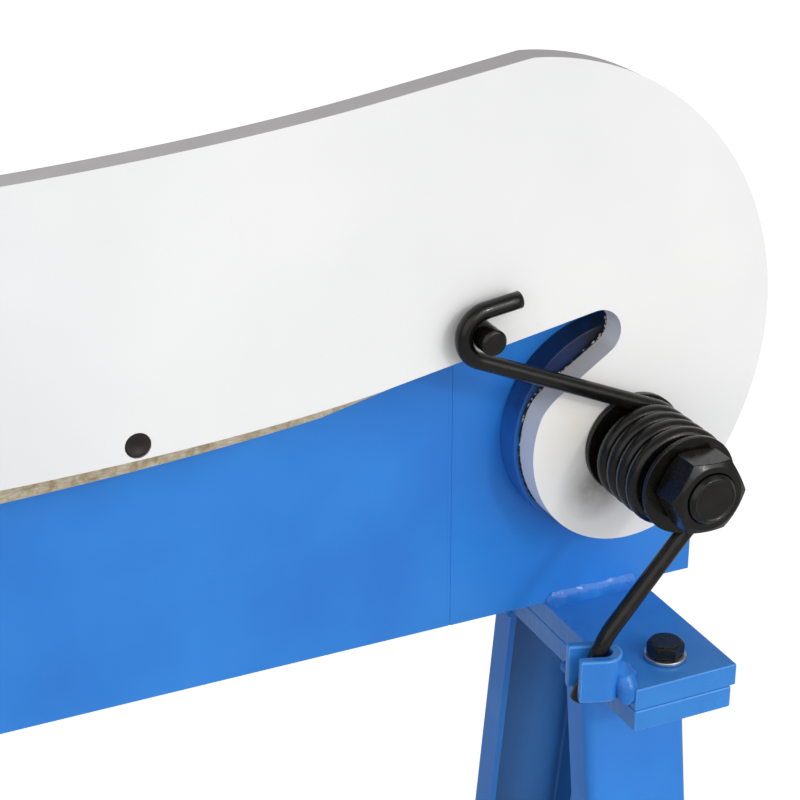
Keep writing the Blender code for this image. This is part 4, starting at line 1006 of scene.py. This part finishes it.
@dataclass(frozen=True)
class TorsionSpring:
    """The spring that carries the arm: hook, coil on the bolt, leg down to its lug."""

    wire: float = 3.3
    centre: Pair = (-0.7, -1.3)
    radius: float = 17.4
    pitch: float = 7.05
    back: float = -30.1
    full_turns: int = 4
    hook_centre: Pair = (-67.1, 57.6)
    hook_radius: float = 10.1
    hook_end: float = 98.0
    tail: float = 14.0
    leg_turn: float = -40.7
    leg_corner: Pair = (-29.722, -61.725)
    leg_lean: float = 20.0
    leg_turned: float = -20.0
    leg_bend: float = 26.0
    leg_end: float = -89.4

    def path(self) -> list[Vector]:
        """Lay out the wire's centre line from the hook's tail to the leg's end.

        Returns:
            Its points, at most 4 mm apart.
        """
        away = (self.hook_centre[0] - self.centre[0], self.hook_centre[1] - self.centre[1])
        lean = math.degrees(math.asin((self.radius + self.hook_radius) / math.hypot(*away)))
        upper = math.degrees(math.atan2(away[1], away[0])) + lean - 90
        hook = arc(self.hook_centre, self.hook_radius, self.hook_end, upper + 180, 8.0)
        turn = math.radians(self.hook_end)
        tail = (hook[0][0] + self.tail * math.sin(turn), hook[0][1] - self.tail * math.cos(turn))
        points = [(x, self.back, z) for x, z in [tail] + hook]
        sweep = upper - self.leg_turn + 360 * self.full_turns
        for step in range(math.ceil(sweep / 7.5) + 1):
            wound = sweep * step / math.ceil(sweep / 7.5)
            x, z = polar(self.centre, self.radius, upper - wound)
            points.append((x, self.back - self.pitch * wound / 360, z))
        return resampled(points + self.lower_leg(Vector(points[-1])), 4.0)

    def lower_leg(self, leave: Vector) -> list[Point]:
        """Lay out the leg that leaves the coil, bends and runs leaning into its lug.

        Args:
            leave: Where the wire leaves the coil.

        Returns:
            The leg's points.
        """
        corner = Vector((self.leg_corner[0], leave.y, self.leg_corner[1]))
        lean, turned = math.radians(self.leg_lean), math.radians(self.leg_turned)
        down = Vector((-math.sin(lean) * math.cos(turned), -math.sin(lean) * math.sin(turned),
                       -math.cos(lean)))
        out = (corner - leave).normalized()
        bend = out.angle(down)
        spot = corner - self.leg_bend * math.tan(bend / 2) * out
        points = [tuple(spot)]
        steps = math.ceil(bend / math.radians(5))
        for step in range(steps):
            heading = out.slerp(down, (step + 0.5) / steps)
            spot = spot + 2 * self.leg_bend * math.sin(bend / steps / 2) * heading
            points.append(tuple(spot))
        return [*points, tuple(spot + (self.leg_end - spot.z) / down.z * down)]

    def build(self) -> None:
        """Sweep the wire and let it ride on the frame."""
        path = self.path()
        spring = Shape().swept(path, [self.wire] * len(path), 20).thing(
            "torsion_spring_wire", BLACK, 50.0)
        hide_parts("torsion_spring")
        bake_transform(spring)
        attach(spring, "frame")
        LOG.info("torsion_spring_wire: %d faces, winds between frame and arm",
                 len(spring.data.polygons))


@dataclass(frozen=True)
class PivotStack:
    """What is threaded on the pivot bolt, from the disc behind the arm to the nut."""

    bolt: float = 10.0
    nut_across: float = 28.0
    nut_turn: float = 28.0
    head_across: float = 30.0
    nut: Pair = (-80.899, -66.299)
    head: Pair = (10.3, 22.8)
    bolt_end: float = -83.099
    spacer: tuple[float, float, float] = (45.5, -11.7, -0.3)
    inner_washer: tuple[float, float, float] = (20.9, -26.5, -23.9)
    outer_washer: tuple[float, float, float] = (19.7, -65.999, -63.999)
    washer_bore: float = 11.5
    washer_drop: float = 1.2

    def build(self) -> None:
        """Build the disc, both washers, the nut and the bolt."""
        hung = (0.0, -self.washer_drop)
        self.build_disc("pivot_spacer", self.spacer, BLUE_DISC_GREASE_AND_SHADE, (0, 0), self.bolt + 0.3)
        self.build_disc("inner_washer", self.inner_washer, BLACK, hung, self.washer_bore)
        self.build_disc("outer_washer", self.outer_washer, BLACK, hung, self.washer_bore)
        Shape().hexagon(Axis.Y, (0, 0), self.nut_across, *self.nut, bore=self.bolt + 0.3,
                        turned_by=self.nut_turn).piece(
            "pivot_nut_oiled", BLACK, ["pivot_nut"], edge=0.25, sharp=20)
        end = self.bolt_end
        profile = [(0, end + 0.45), (7.5, end + 0.45), (7.9, end + 0.15), (8.2, end),
                   (8.6, end + 0.05), (8.9, end + 0.3), (self.bolt, end + 1.5),
                   (self.bolt, self.head[0]), (0, self.head[0])]
        shape = Shape().turned(profile, Axis.Y, (0, 0), 72)
        shape.hexagon(Axis.Y, (0, 0), self.head_across, *self.head, chamfer_low=False)
        shape.piece("pivot_bolt_oiled", BLACK, ["pivot_bolt"], edge=0.2, sharp=20)

    def build_disc(self, node: str, sizes: tuple[float, float, float], finish: Finish,
                   centre: Pair, bore: float) -> None:
        """Build a disc with a bore from its radius and its two faces."""
        Shape().turned(collar(bore, *sizes), Axis.Y, centre, 96, closed=True).piece(
            node + "_turned", finish, [node], edge=0.4)


@dataclass(frozen=True)
class Plain:
    """A CAD solid whose shape is right: a plate, bar or block that only needs its edges broken."""

    node: str
    finish: Finish = BLUE
    edge: float = 0.7
    # Painted highlight on the broken edges by default
    edge_finish: Finish | None = BLUE_EDGE_HIGHLIGHT

    def build(self) -> bpy.types.Object:
        """Copy the solid, break its edges and dress it."""
        return Shape.from_node(self.node).piece(self.node + "_dressed", self.finish,
                                                [self.node], edge=self.edge,
                                                edge_finish=self.edge_finish)


@dataclass(frozen=True)
class Beam:
    """The beam with its end plate, knife seat, lower knife and the welds between them."""

    seam_x: float = -66.5
    bottom: float = -80.8
    step: float = 36.7
    thickness: float = 10.0
    bolt: float = 5.0
    bolt_across: float = 16.0
    bolt_head: Pair = (22.6, 29.1)

    def build(self) -> None:
        """Dress the plates, lay the seam and build the lower knife's bolts."""
        Plain("beam_plate", edge=0.45).build()
        Plain("end_plate", edge=0.45).build()
        Plain("knife_seat").build()
        # Bright ground edges on the lower knife too, lighter still as a painted highlight
        Plain("lower_knife", KNIFE, 0.35, KNIFE_EDGE_HIGHLIGHT).build()
        seam = Shape()
        for left, right, face in ((-1.5, -0.17, -0.05), (-0.3, 0.3, 0.14), (0.17, 1.5, -0.05)):
            seam.plate(box_outline((self.seam_x + left, self.bottom + 0.4),
                                   (self.seam_x + right, self.step)), Axis.Y, face, 0.6)
        seam.piece("beam_seam_ground", BLUE)
        Weld("beam_seam_back", ((self.seam_x, self.thickness, self.bottom + 2),
                                (self.seam_x, self.thickness, self.step - 2)), 2.6).lay()
        for index in range(3):
            node = f"lower_knife_bolt_{index + 1}"
            place = Upright.of(node, Axis.Y)
            shape = Shape().hexagon(Axis.Y, place.spot, self.bolt_across, *self.bolt_head)
            shape.turned(bar(self.bolt, place.low, self.bolt_head[0]), Axis.Y, place.spot, 32)
            shape.piece(node + "_oiled", BLACK, [node], edge=0.2, sharp=20)


@dataclass(frozen=True)
class Lug:
    """The hairpin lug that holds the spring's lower leg, welded to the foot plate."""

    centre: Pair = (-31.1, -59.897)
    inner: float = 3.8
    outer: float = 8.0
    front_arm: float = 9.6
    back_arm: float = 12.5
    turn: float = -20.0
    low: float = -86.9
    high: float = -68.5
    weld_runs: tuple[tuple[tuple[float, float, float, float], ...], ...] = (
        ((-26.2, -61.0, -72.4, 1.4), (-25.2, -63.2, -75.0, 3.0), (-24.4, -65.6, -78.6, 4.4),
         (-24.0, -67.8, -82.2, 4.6), (-24.6, -68.8, -85.4, 3.8), (-25.6, -69.0, -88.2, 2.4)),
        ((-23.6, -53.0, -81.6, 2.4), (-22.8, -57.0, -80.0, 3.6), (-22.6, -62.0, -79.0, 4.6),
         (-22.6, -66.0, -80.4, 4.8)))

    def build(self) -> None:
        """Bend the band round and weld it to the plate's corner."""
        band = [(-self.front_arm, -self.outer)] + arc((0, 0), self.outer, -90, 90, 6.0)
        band += [(-self.back_arm, self.outer), (-self.back_arm, self.inner)]
        band += arc((0, 0), self.inner, 90, -90, 9.0) + [(-self.front_arm, -self.inner)]
        spin = Matrix.Rotation(math.radians(self.turn), 2)
        outline = [(spin @ Vector(point)) + Vector(self.centre) for point in band]
        # Painted highlight on the band's broken edges
        Shape().plate([(p.x, p.y) for p in outline], Axis.Z, self.low, self.high).piece(
            "spring_lug_bent", BLUE_THICK, ["spring_lug"], edge=0.9, edge_finish=BLUE_EDGE_HIGHLIGHT)
        chance = random.Random("lug weld")
        mass = Shape()
        for run in self.weld_runs:
            spots = [Vector(spot[:3]) for spot in run]
            path, radii = [], []
            for (before, after), (first, last) in zip(zip(spots, spots[1:]),
                                                      zip(run, run[1:])):
                for step in range(8):
                    share = step / 8
                    path.append(before.lerp(after, share))
                    radii.append((first[3] * (1 - share) + last[3] * share)
                                 * chance.uniform(0.98, 1.02))
            mass.swept(path, radii, 24)
        mass.piece("spring_lug_weld", BLUE_BEAD, sharp=80.0)


@dataclass(frozen=True)
class Stand:
    """One stand under the beam: foot plate, top plate, legs, brace, bolts and welds."""

    side: str
    x: float
    foot_bolt_across: float = 13.0
    foot_bolt_head: Pair = (-78.9, -73.6)
    foot_washer: tuple[float, float, float] = (8.5, -80.8, -79.2)
    shank: float = 4.0
    leg_shift: float = 0.8
    web: float = 47.0
    flange: float = 16.0
    plate_top: float = -81.1
    top: float = -100.5
    floor_pad: float = -754.0
    sheet: float = 3.0
    pad: float = 7.0
    face: float = -34.6
    back_face: float = 44.6
    splay: float = 0.15

    def build(self) -> None:
        """Dress the plates and legs, and add bolts, washers and welds."""
        Plain(f"foot_plate_{self.side}", BLUE_PLATE, 0.8).build()
        Plain(f"stand_top_{self.side}", BLUE_PLATE, 0.8).build()
        Plain(f"end_brace_{self.side}").build()
        for end in ("front", "back"):
            self.shade_leg_inside(Plain(f"leg_{self.side}_{end}", edge=0.5).build(), end)
            self.build_bolt(end)
            self.weld_leg(end)
        for depth, label, outward in ((0.0, "front", -1.0), (10.0, "back", 1.0)):
            Fillet(f"foot_weld_{self.side}_{label}", (self.x - 22.4, depth, self.plate_top),
                   44.6, outward).lay()

    def shade_leg_inside(self, leg: bpy.types.Object, end: str) -> None:
        """Give the faces inside a folded leg their painted shade."""
        leg.data.materials.append(material_of(BLUE_LEG_SHADE))
        outward = -1 if end == "front" else 1
        middle = PIVOT.x + (self.x + self.leg_shift) * MM
        within = (self.web / 2 - self.sheet / 2) * MM
        for face in leg.data.polygons:
            inside = abs(face.center.x - middle) < within and face.normal.y * outward < 0.3
            if inside and face.center.z > self.pad * MM:
                # Painted shade on the faces inside the channel
                face.material_index = 2

    def build_bolt(self, end: str) -> None:
        """Build a foot bolt, which is threaded into the top plate, and its washer."""
        node = f"foot_bolt_{self.side}_{end}"
        washer = f"foot_washer_{self.side}_{end}"
        spot = Upright.of(washer).spot
        shape = Shape().hexagon(Axis.Z, spot, self.foot_bolt_across, *self.foot_bolt_head,
                                chamfer_low=False)
        tip = reach_of(node)[0].z
        shape.turned([(0, tip), (self.shank - 0.8, tip), (self.shank, tip + 0.8),
                      (self.shank, self.foot_bolt_head[0]), (0, self.foot_bolt_head[0])],
                     Axis.Z, spot, 32)
        shape.piece(node + "_oiled", BLACK, [node], edge=0.25, sharp=20)
        Shape().turned(collar(self.shank + 0.3, *self.foot_washer), Axis.Z, spot, 64,
                       closed=True).piece(washer + "_plated", ZINC, [washer], edge=0.45)

    def weld_leg(self, end: str) -> None:
        """Weld a leg's top to the plate over it and its foot to its pad."""
        face = self.face if end == "front" else self.back_face
        outward = -1 if end == "front" else 1
        half = self.web / 2
        left, right = self.x + self.leg_shift - half, self.x + self.leg_shift + half
        for level, label in ((self.top, "top"), (self.floor_pad, "foot")):
            y = face + outward * self.splay * (self.top - level)
            inner = y - outward * self.flange
            Weld(f"leg_weld_{self.side}_{end}_{label}",
                 ((left, inner, level), (left, y, level), (right, y, level),
                  (right, inner, level)), 2.4).lay()


@dataclass(frozen=True)
class WorkTable:
    """The table behind the lower knife, its gussets, and the fence with its graduations."""

    mark_step: float = 5.0
    mark_width: float = 0.4

    def build(self) -> None:
        """Dress the table and mark the fence every 5 mm, with longer lines each 10 and 50."""
        Plain("table_plate", edge=0.6).build()
        for side in ("left", "right"):
            Plain(f"table_bracket_{side}").build()
            low, high = reach_of(f"table_bracket_{side}")
            for x in (low.x, high.x):
                Weld(f"bracket_weld_{side}_{'inner' if x == low.x else 'outer'}",
                     ((x, low.y + 2, high.z - 0.4), (x, high.y - 4, high.z - 0.4)), 2.2).lay()
        Plain("side_fence", DRAWN, 0.6, None).build()
        low, high = reach_of("side_fence")
        shape = Shape()
        for index in range(1, int((high.y - low.y) / self.mark_step)):
            length = 12.0 if index % 10 == 0 else 8.0 if index % 2 == 0 else 5.0
            y = low.y + index * self.mark_step
            shape.plate(box_outline((low.x + 1.2, y - self.mark_width / 2),
                                    (low.x + 1.2 + length, y + self.mark_width / 2)),
                        Axis.Z, high.z - 0.1, high.z + 0.03)
        shape.piece("side_fence_graduations", INK)


@dataclass(frozen=True)
class HoldDown:
    """The bar that holds the sheet, its threaded studs and its star knobs."""

    stud: float = 6.0
    thread: float = 1.75
    thread_depth: float = 0.9
    knob: float = 20.0
    lobe: float = 3.0
    lobes: int = 5

    def build(self) -> None:
        """Dress the bar and build both studs and knobs."""
        Plain("hold_down_bar", edge=1.0).build()
        for side in ("left", "right"):
            self.build_stud(f"hold_down_stud_{side}")
            self.build_knob(f"hold_down_knob_{side}")

    def build_stud(self, node: str) -> None:
        """Build a stud whose thread winds up it."""
        place = Upright.of(node)
        root, sides = self.stud - self.thread_depth, 32

        def ring(radius: float, level: float, climb: float = 0.0) -> list[Point]:
            """Lay a ring of points, which climbs over its one turn."""
            return [(*polar(place.spot, radius, 360 * side / sides), level + climb * side / sides)
                    for side in range(sides)]

        quarters = int((place.high - place.low - 1.2) / self.thread * 4) - 4
        rings = [ring(self.stud - self.thread_depth * (0.0, 0.5, 1.0, 0.5)[row % 4],
                      place.low + 0.6 + self.thread * row / 4, self.thread)
                 for row in range(quarters)]
        tips = [ring(root, place.high - 0.9), ring(root - 0.8, place.high)]
        Shape().skin([ring(root, place.low), *rings, *tips]).piece(node + "_plated", ZINC, [node],
                                                                   sharp=70)

    def build_knob(self, node: str) -> None:
        """Build a star knob: waisted skirt, five lobes, rounded top with a recess."""
        place = Upright.of(node)
        spot, bottom, top = place.spot, place.low, place.high
        share = self.lobe / self.knob

        def star(turn: float) -> float:
            """Give the share of the radius at a turn."""
            return 1 + share * math.cos(math.radians(self.lobes * turn))

        inner = self.stud + 0.5
        round_skirt = [(inner, bottom), (11.0, bottom), (12.0, bottom + 0.8), (12.2, bottom + 4)]
        Shape().turned(round_skirt + [(12.4, bottom + 8), (inner, bottom + 8)], Axis.Z, spot, 60,
                       closed=True).turned(
            [(inner, bottom + 6.0), (13.0, bottom + 6.0), (17.6, bottom + 7.0),
             (19.3, bottom + 8.6), (20.0, bottom + 11.0), (20.0, top - 4.6), (19.3, top - 2.2),
             (17.4, top - 0.7), (15.0, top), (10.6, top), (9.8, top - 0.9), (inner, top - 1.0)],
            Axis.Z, spot, 120, closed=True, lobes=star).piece(
            node + "_moulded", PHENOLIC, [node], sharp=50)


@dataclass(frozen=True)
class BackGauge:
    """The stop plate on its two rods, with knurled thumb screws."""

    head: float = 9.0
    head_height: float = 9.0
    screw: float = 4.0
    knurls: int = 36

    def build(self) -> None:
        """Dress the gauge and build the rods and the screws."""
        Plain("gauge_plate", edge=0.6).build()
        for side in ("left", "right"):
            node = f"gauge_rod_{side}"
            rod = Upright.of(node, Axis.Y)
            radius, low, high = rod.radius, rod.low, rod.high
            Shape().turned([(0, low), (radius - 1.5, low), (radius, low + 1.5), (radius, high),
                            (0, high)], Axis.Y, rod.spot, 64).piece(
                node + "_drawn", DRAWN, [node], edge=0.3)
            ring = tuple((x, -0.4, z) for x, z in arc(rod.spot, radius, 0, 360, 15))
            Weld(f"rod_weld_{side}", ring, 2.2).lay()
            self.build_screw(f"gauge_screw_{side}")

    def build_screw(self, node: str) -> None:
        """Build a thumb screw: shank, collar and a knurled head."""
        place = Upright.of(node)
        low, high, screw, wide = place.low, place.high, self.screw, self.head
        base = high - self.head_height
        shank = [(0, low), (screw - 0.5, low), (screw, low + 0.6), (screw, base - 3),
                 (screw + 1.6, base - 2), (screw + 1.6, base + 1), (0, base + 1)]
        head = [(0, base), (wide - 1.2, base), (wide, base + 1.1), (wide, high - 1.1),
                (wide - 1.2, high), (wide - 4, high), (wide - 4.6, high - 0.5), (0, high - 0.5)]

        def knurl(turn: float) -> float:
            """Give the share of the radius at a turn."""
            return 1 - 0.035 * (1 - math.cos(math.radians(self.knurls * turn))) / 2

        Shape().turned(shank, Axis.Z, place.spot, 32).turned(
            head, Axis.Z, place.spot, self.knurls * 4, lobes=knurl).piece(
            node + "_oiled", BLACK, [node], sharp=40)


@dataclass(frozen=True)
class Handle:
    """The lever on the arm: a flat screwed on, the bar welded to it and its ribbed grip."""

    start: Point = (-842.0, -29.9, 112.06)
    rise: float = 20.0
    flat: tuple[float, float, float] = (176.0, 38.0, 12.0)
    length: float = 560.0
    bar: float = 12.0
    lap: float = 11.0
    grip_length: float = 135.0
    grip: float = 17.0
    screw_radius: float = 6.0
    screw_across: float = 18.0
    screw_at: Pair = (26.0, 114.0)
    screw_head: Pair = (-43.7, -36.2)
    arm_back: float = -12.0

    def place(self) -> Matrix:
        """Give the matrix from the handle's own axes to the machine's."""
        return Matrix.Translation(self.start) @ Matrix.Rotation(math.radians(self.rise), 4, "Y")

    def screw_places(self) -> list[Pair]:
        """Give the places of the two screws on the arm."""
        return [polar((self.start[0], self.start[2]), distance, 180 - self.rise)
                for distance in self.screw_at]

    def build(self) -> None:
        """Build the bar with its flat, the weld between them, the grip and the screws."""
        length, height, thick = self.flat
        half = height / 2
        outline = []
        for spot, radius, start in (((-3, half - 3), 3, 0), ((8 - length, half - 8), 8, 90),
                                    ((8 - length, 8 - half), 8, 180), ((-3, 3 - half), 3, 270)):
            outline += arc(spot, radius, start, start + 90, 15)
        holes = [((-distance, 0.0), self.screw_radius + 0.3) for distance in self.screw_at]
        shape = Shape().plate(outline, Axis.Y, -thick / 2, thick / 2, holes)
        shape.turned([(0, -self.length), (self.bar, -self.length),
                      (self.bar, self.lap - length - 2), (self.bar - 2, self.lap - length),
                      (0, self.lap - length)], Axis.X, (0, 0), 56)
        shape.moved(self.place()).piece("handle_bar_oiled", BLACK, ["handle_bar"], edge=0.6)
        for index, side in enumerate((-1, 1)):
            path = tuple(tuple(self.place() @ Vector((1 - length, side * thick / 2, z)))
                         for z in (self.bar * -0.9, self.bar * 0.9))
            Weld(f"handle_weld_{index + 1}", path, 3.0, "arm", finish=BLACK).lay()
        self.build_grip()
        for index, spot in enumerate(self.screw_places()):
            node = f"handle_screw_{index + 1}"
            screw = Shape().hexagon(Axis.Y, spot, self.screw_across, *self.screw_head,
                                    chamfer_high=False)
            screw.turned(bar(self.screw_radius, self.screw_head[1], self.arm_back), Axis.Y, spot,
                         32)
            screw.piece(node + "_oiled", BLACK, [node], edge=0.25, sharp=20)

    def build_grip(self) -> None:
        """Build the rubber grip with its ribs, end dome and flange."""
        end = -self.length - 5.3
        mouth = end + self.grip_length
        inner = self.bar + 0.3
        profile = [(0, end), (9.0, end + 0.3), (13.4, end + 1.6), (15.8, end + 3.8),
                   (16.4, end + 7.0)]
        x = end + 12.0
        while x < mouth - 14.0:
            profile += [(16.2, x), (15.2, x + 0.8), (15.2, x + 2.0), (16.2, x + 2.8)]
            x += 7.5
        profile += [(16.2, mouth - 8), (self.grip, mouth - 6), (self.grip, mouth - 1.5),
                    (16.0, mouth), (inner, mouth), (inner, -self.length - 0.3),
                    (0, -self.length - 0.3)]
        Shape().turned(profile, Axis.X, (0, 0), 64).moved(self.place()).piece(
            "handle_grip_moulded", RUBBER, ["handle_grip"], sharp=50)


@dataclass(frozen=True)
class ArmStop:
    """The block that the closed arm rests on, with its rubber buffer."""

    def build(self) -> None:
        """Dress the block, weld it on and build the buffer."""
        Plain("arm_stop", edge=1.2).build()
        low, high = reach_of("arm_stop")
        Weld("arm_stop_weld", ((low.x, -0.6, high.z - 1), (low.x, -0.6, low.z),
                               (high.x, -0.6, low.z), (high.x, -0.6, high.z - 1)), 2.6).lay()
        place = Upright.of("stop_buffer")
        radius, low, high = place.radius, place.low, place.high
        profile = [(0, low), (radius, low), (radius, low + 2.0), (radius - 0.8, low + 2.6),
                   (radius - 0.8, high - 2.6), (radius - 1.6, high - 0.8), (radius - 3.0, high),
                   (0, high)]
        Shape().turned(profile, Axis.Z, place.spot, 48).piece(
            "stop_buffer_moulded", RUBBER, ["stop_buffer"], sharp=50)


@dataclass(frozen=True)
class Lamp:
    """A distant soft lamp, given by where its light comes from."""

    name: str
    towards: Point
    strength: float
    spread_degrees: float

    def hang(self) -> None:
        """Add the lamp to the scene."""
        data = bpy.data.lights.new(self.name, "SUN")
        data.energy = self.strength
        data.angle = math.radians(self.spread_degrees)
        lamp = bpy.data.objects.new(self.name, data)
        lamp.rotation_euler = Vector(self.towards).to_track_quat("Z", "Y").to_euler()
        placed(lamp)


@dataclass(frozen=True)
class Studio:
    """Floor, world, lamps and camera."""

    lamps: tuple[Lamp, ...] = (
        Lamp("key", (0.4, -1.0, 0.45), 1.38, 56.0),
        Lamp("spark", (0.3, -1.0, 0.5), 0.38, 5.0),
        Lamp("fill", (-0.8, -1.0, 0.4), 0.68, 60.0),
        Lamp("behind", (-0.1, 1.0, 0.06), 0.5, 60.0),
    )
    sky: float = 0.36
    floor_lift: float = 0.42
    floor_half: float = 9.0
    camera_place: Point = (0.275892, -0.606530, 1.101580)
    camera_turn: Point = (65.55, 0.0, -24.98)
    lens: float = 91.44

    def build(self) -> None:
        """Set up everything round the machine."""
        self.build_floor()
        self.build_world()
        for lamp in self.lamps:
            lamp.hang()
        data = bpy.data.cameras.new("camera")
        data.lens = self.lens
        data.sensor_width = 36.0
        camera = bpy.data.objects.new("camera", data)
        camera.location = self.camera_place
        camera.rotation_euler = [math.radians(turn) for turn in self.camera_turn]
        bpy.context.scene.camera = placed(camera)
        bpy.context.scene.view_settings.view_transform = "Standard"

    def build_floor(self) -> None:
        """Lay a pale floor that shows white to the camera and keeps the machine's shadow."""
        reach = self.floor_half
        mesh = bpy.data.meshes.new("floor")
        mesh.from_pydata([(-reach, -reach, 0), (reach, -reach, 0), (reach, reach, 0),
                          (-reach, reach, 0)], [], [(0, 1, 2, 3)])
        material = bpy.data.materials.new("pale_floor")
        material.use_nodes = True
        tree = material.node_tree
        seen = add_node(tree, "ShaderNodeLightPath").outputs["Is Camera Ray"]
        colour = add_node(tree, "ShaderNodeMix", {0: seen, 6: linear("#DADADA"),
                                                  7: linear("#FFFFFF")}, data_type="RGBA")
        lift = add_node(tree, "ShaderNodeMath", {0: seen, 1: self.floor_lift},
                        operation="MULTIPLY")
        connect(tree, tree.nodes["Principled BSDF"], {
            "Roughness": 0.9, "Specular IOR Level": 0.0, "Base Color": colour.outputs[2],
            "Emission Color": linear("#FFFFFF"), "Emission Strength": lift.outputs["Value"]})
        mesh.materials.append(material)
        floor = placed(bpy.data.objects.new("floor", mesh))

    def build_world(self) -> None:
        """Fill the room with even light, and show white behind the machine."""
        world = bpy.data.worlds.new("studio")
        world.use_nodes = True
        tree = world.node_tree
        rays = add_node(tree, "ShaderNodeLightPath")
        strength = add_node(tree, "ShaderNodeMapRange",
                            {"Value": rays.outputs["Is Camera Ray"], "To Min": self.sky,
                             "To Max": 1.0})
        connect(tree, tree.nodes["Background"], {"Color": linear("#FFFFFF"),
                                                 "Strength": strength.outputs["Result"]})
        bpy.context.scene.world = world


def main() -> None:
    """Build the studio, then the machine's pieces in order."""
    logging.basicConfig(level=logging.INFO, format="%(name)s: %(message)s")
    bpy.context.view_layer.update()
    Studio().build()
    Arm().build()
    TorsionSpring().build()
    PivotStack().build()
    Beam().build()
    Lug().build()
    Stand("right", 0.0).build()
    Stand("left", -930.0).build()
    for end in ("front", "back"):
        Plain(f"tie_bar_{end}").build()
    WorkTable().build()
    HoldDown().build()
    BackGauge().build()
    ArmStop().build()
    Handle().build()


if __name__ == "__main__":
    main()
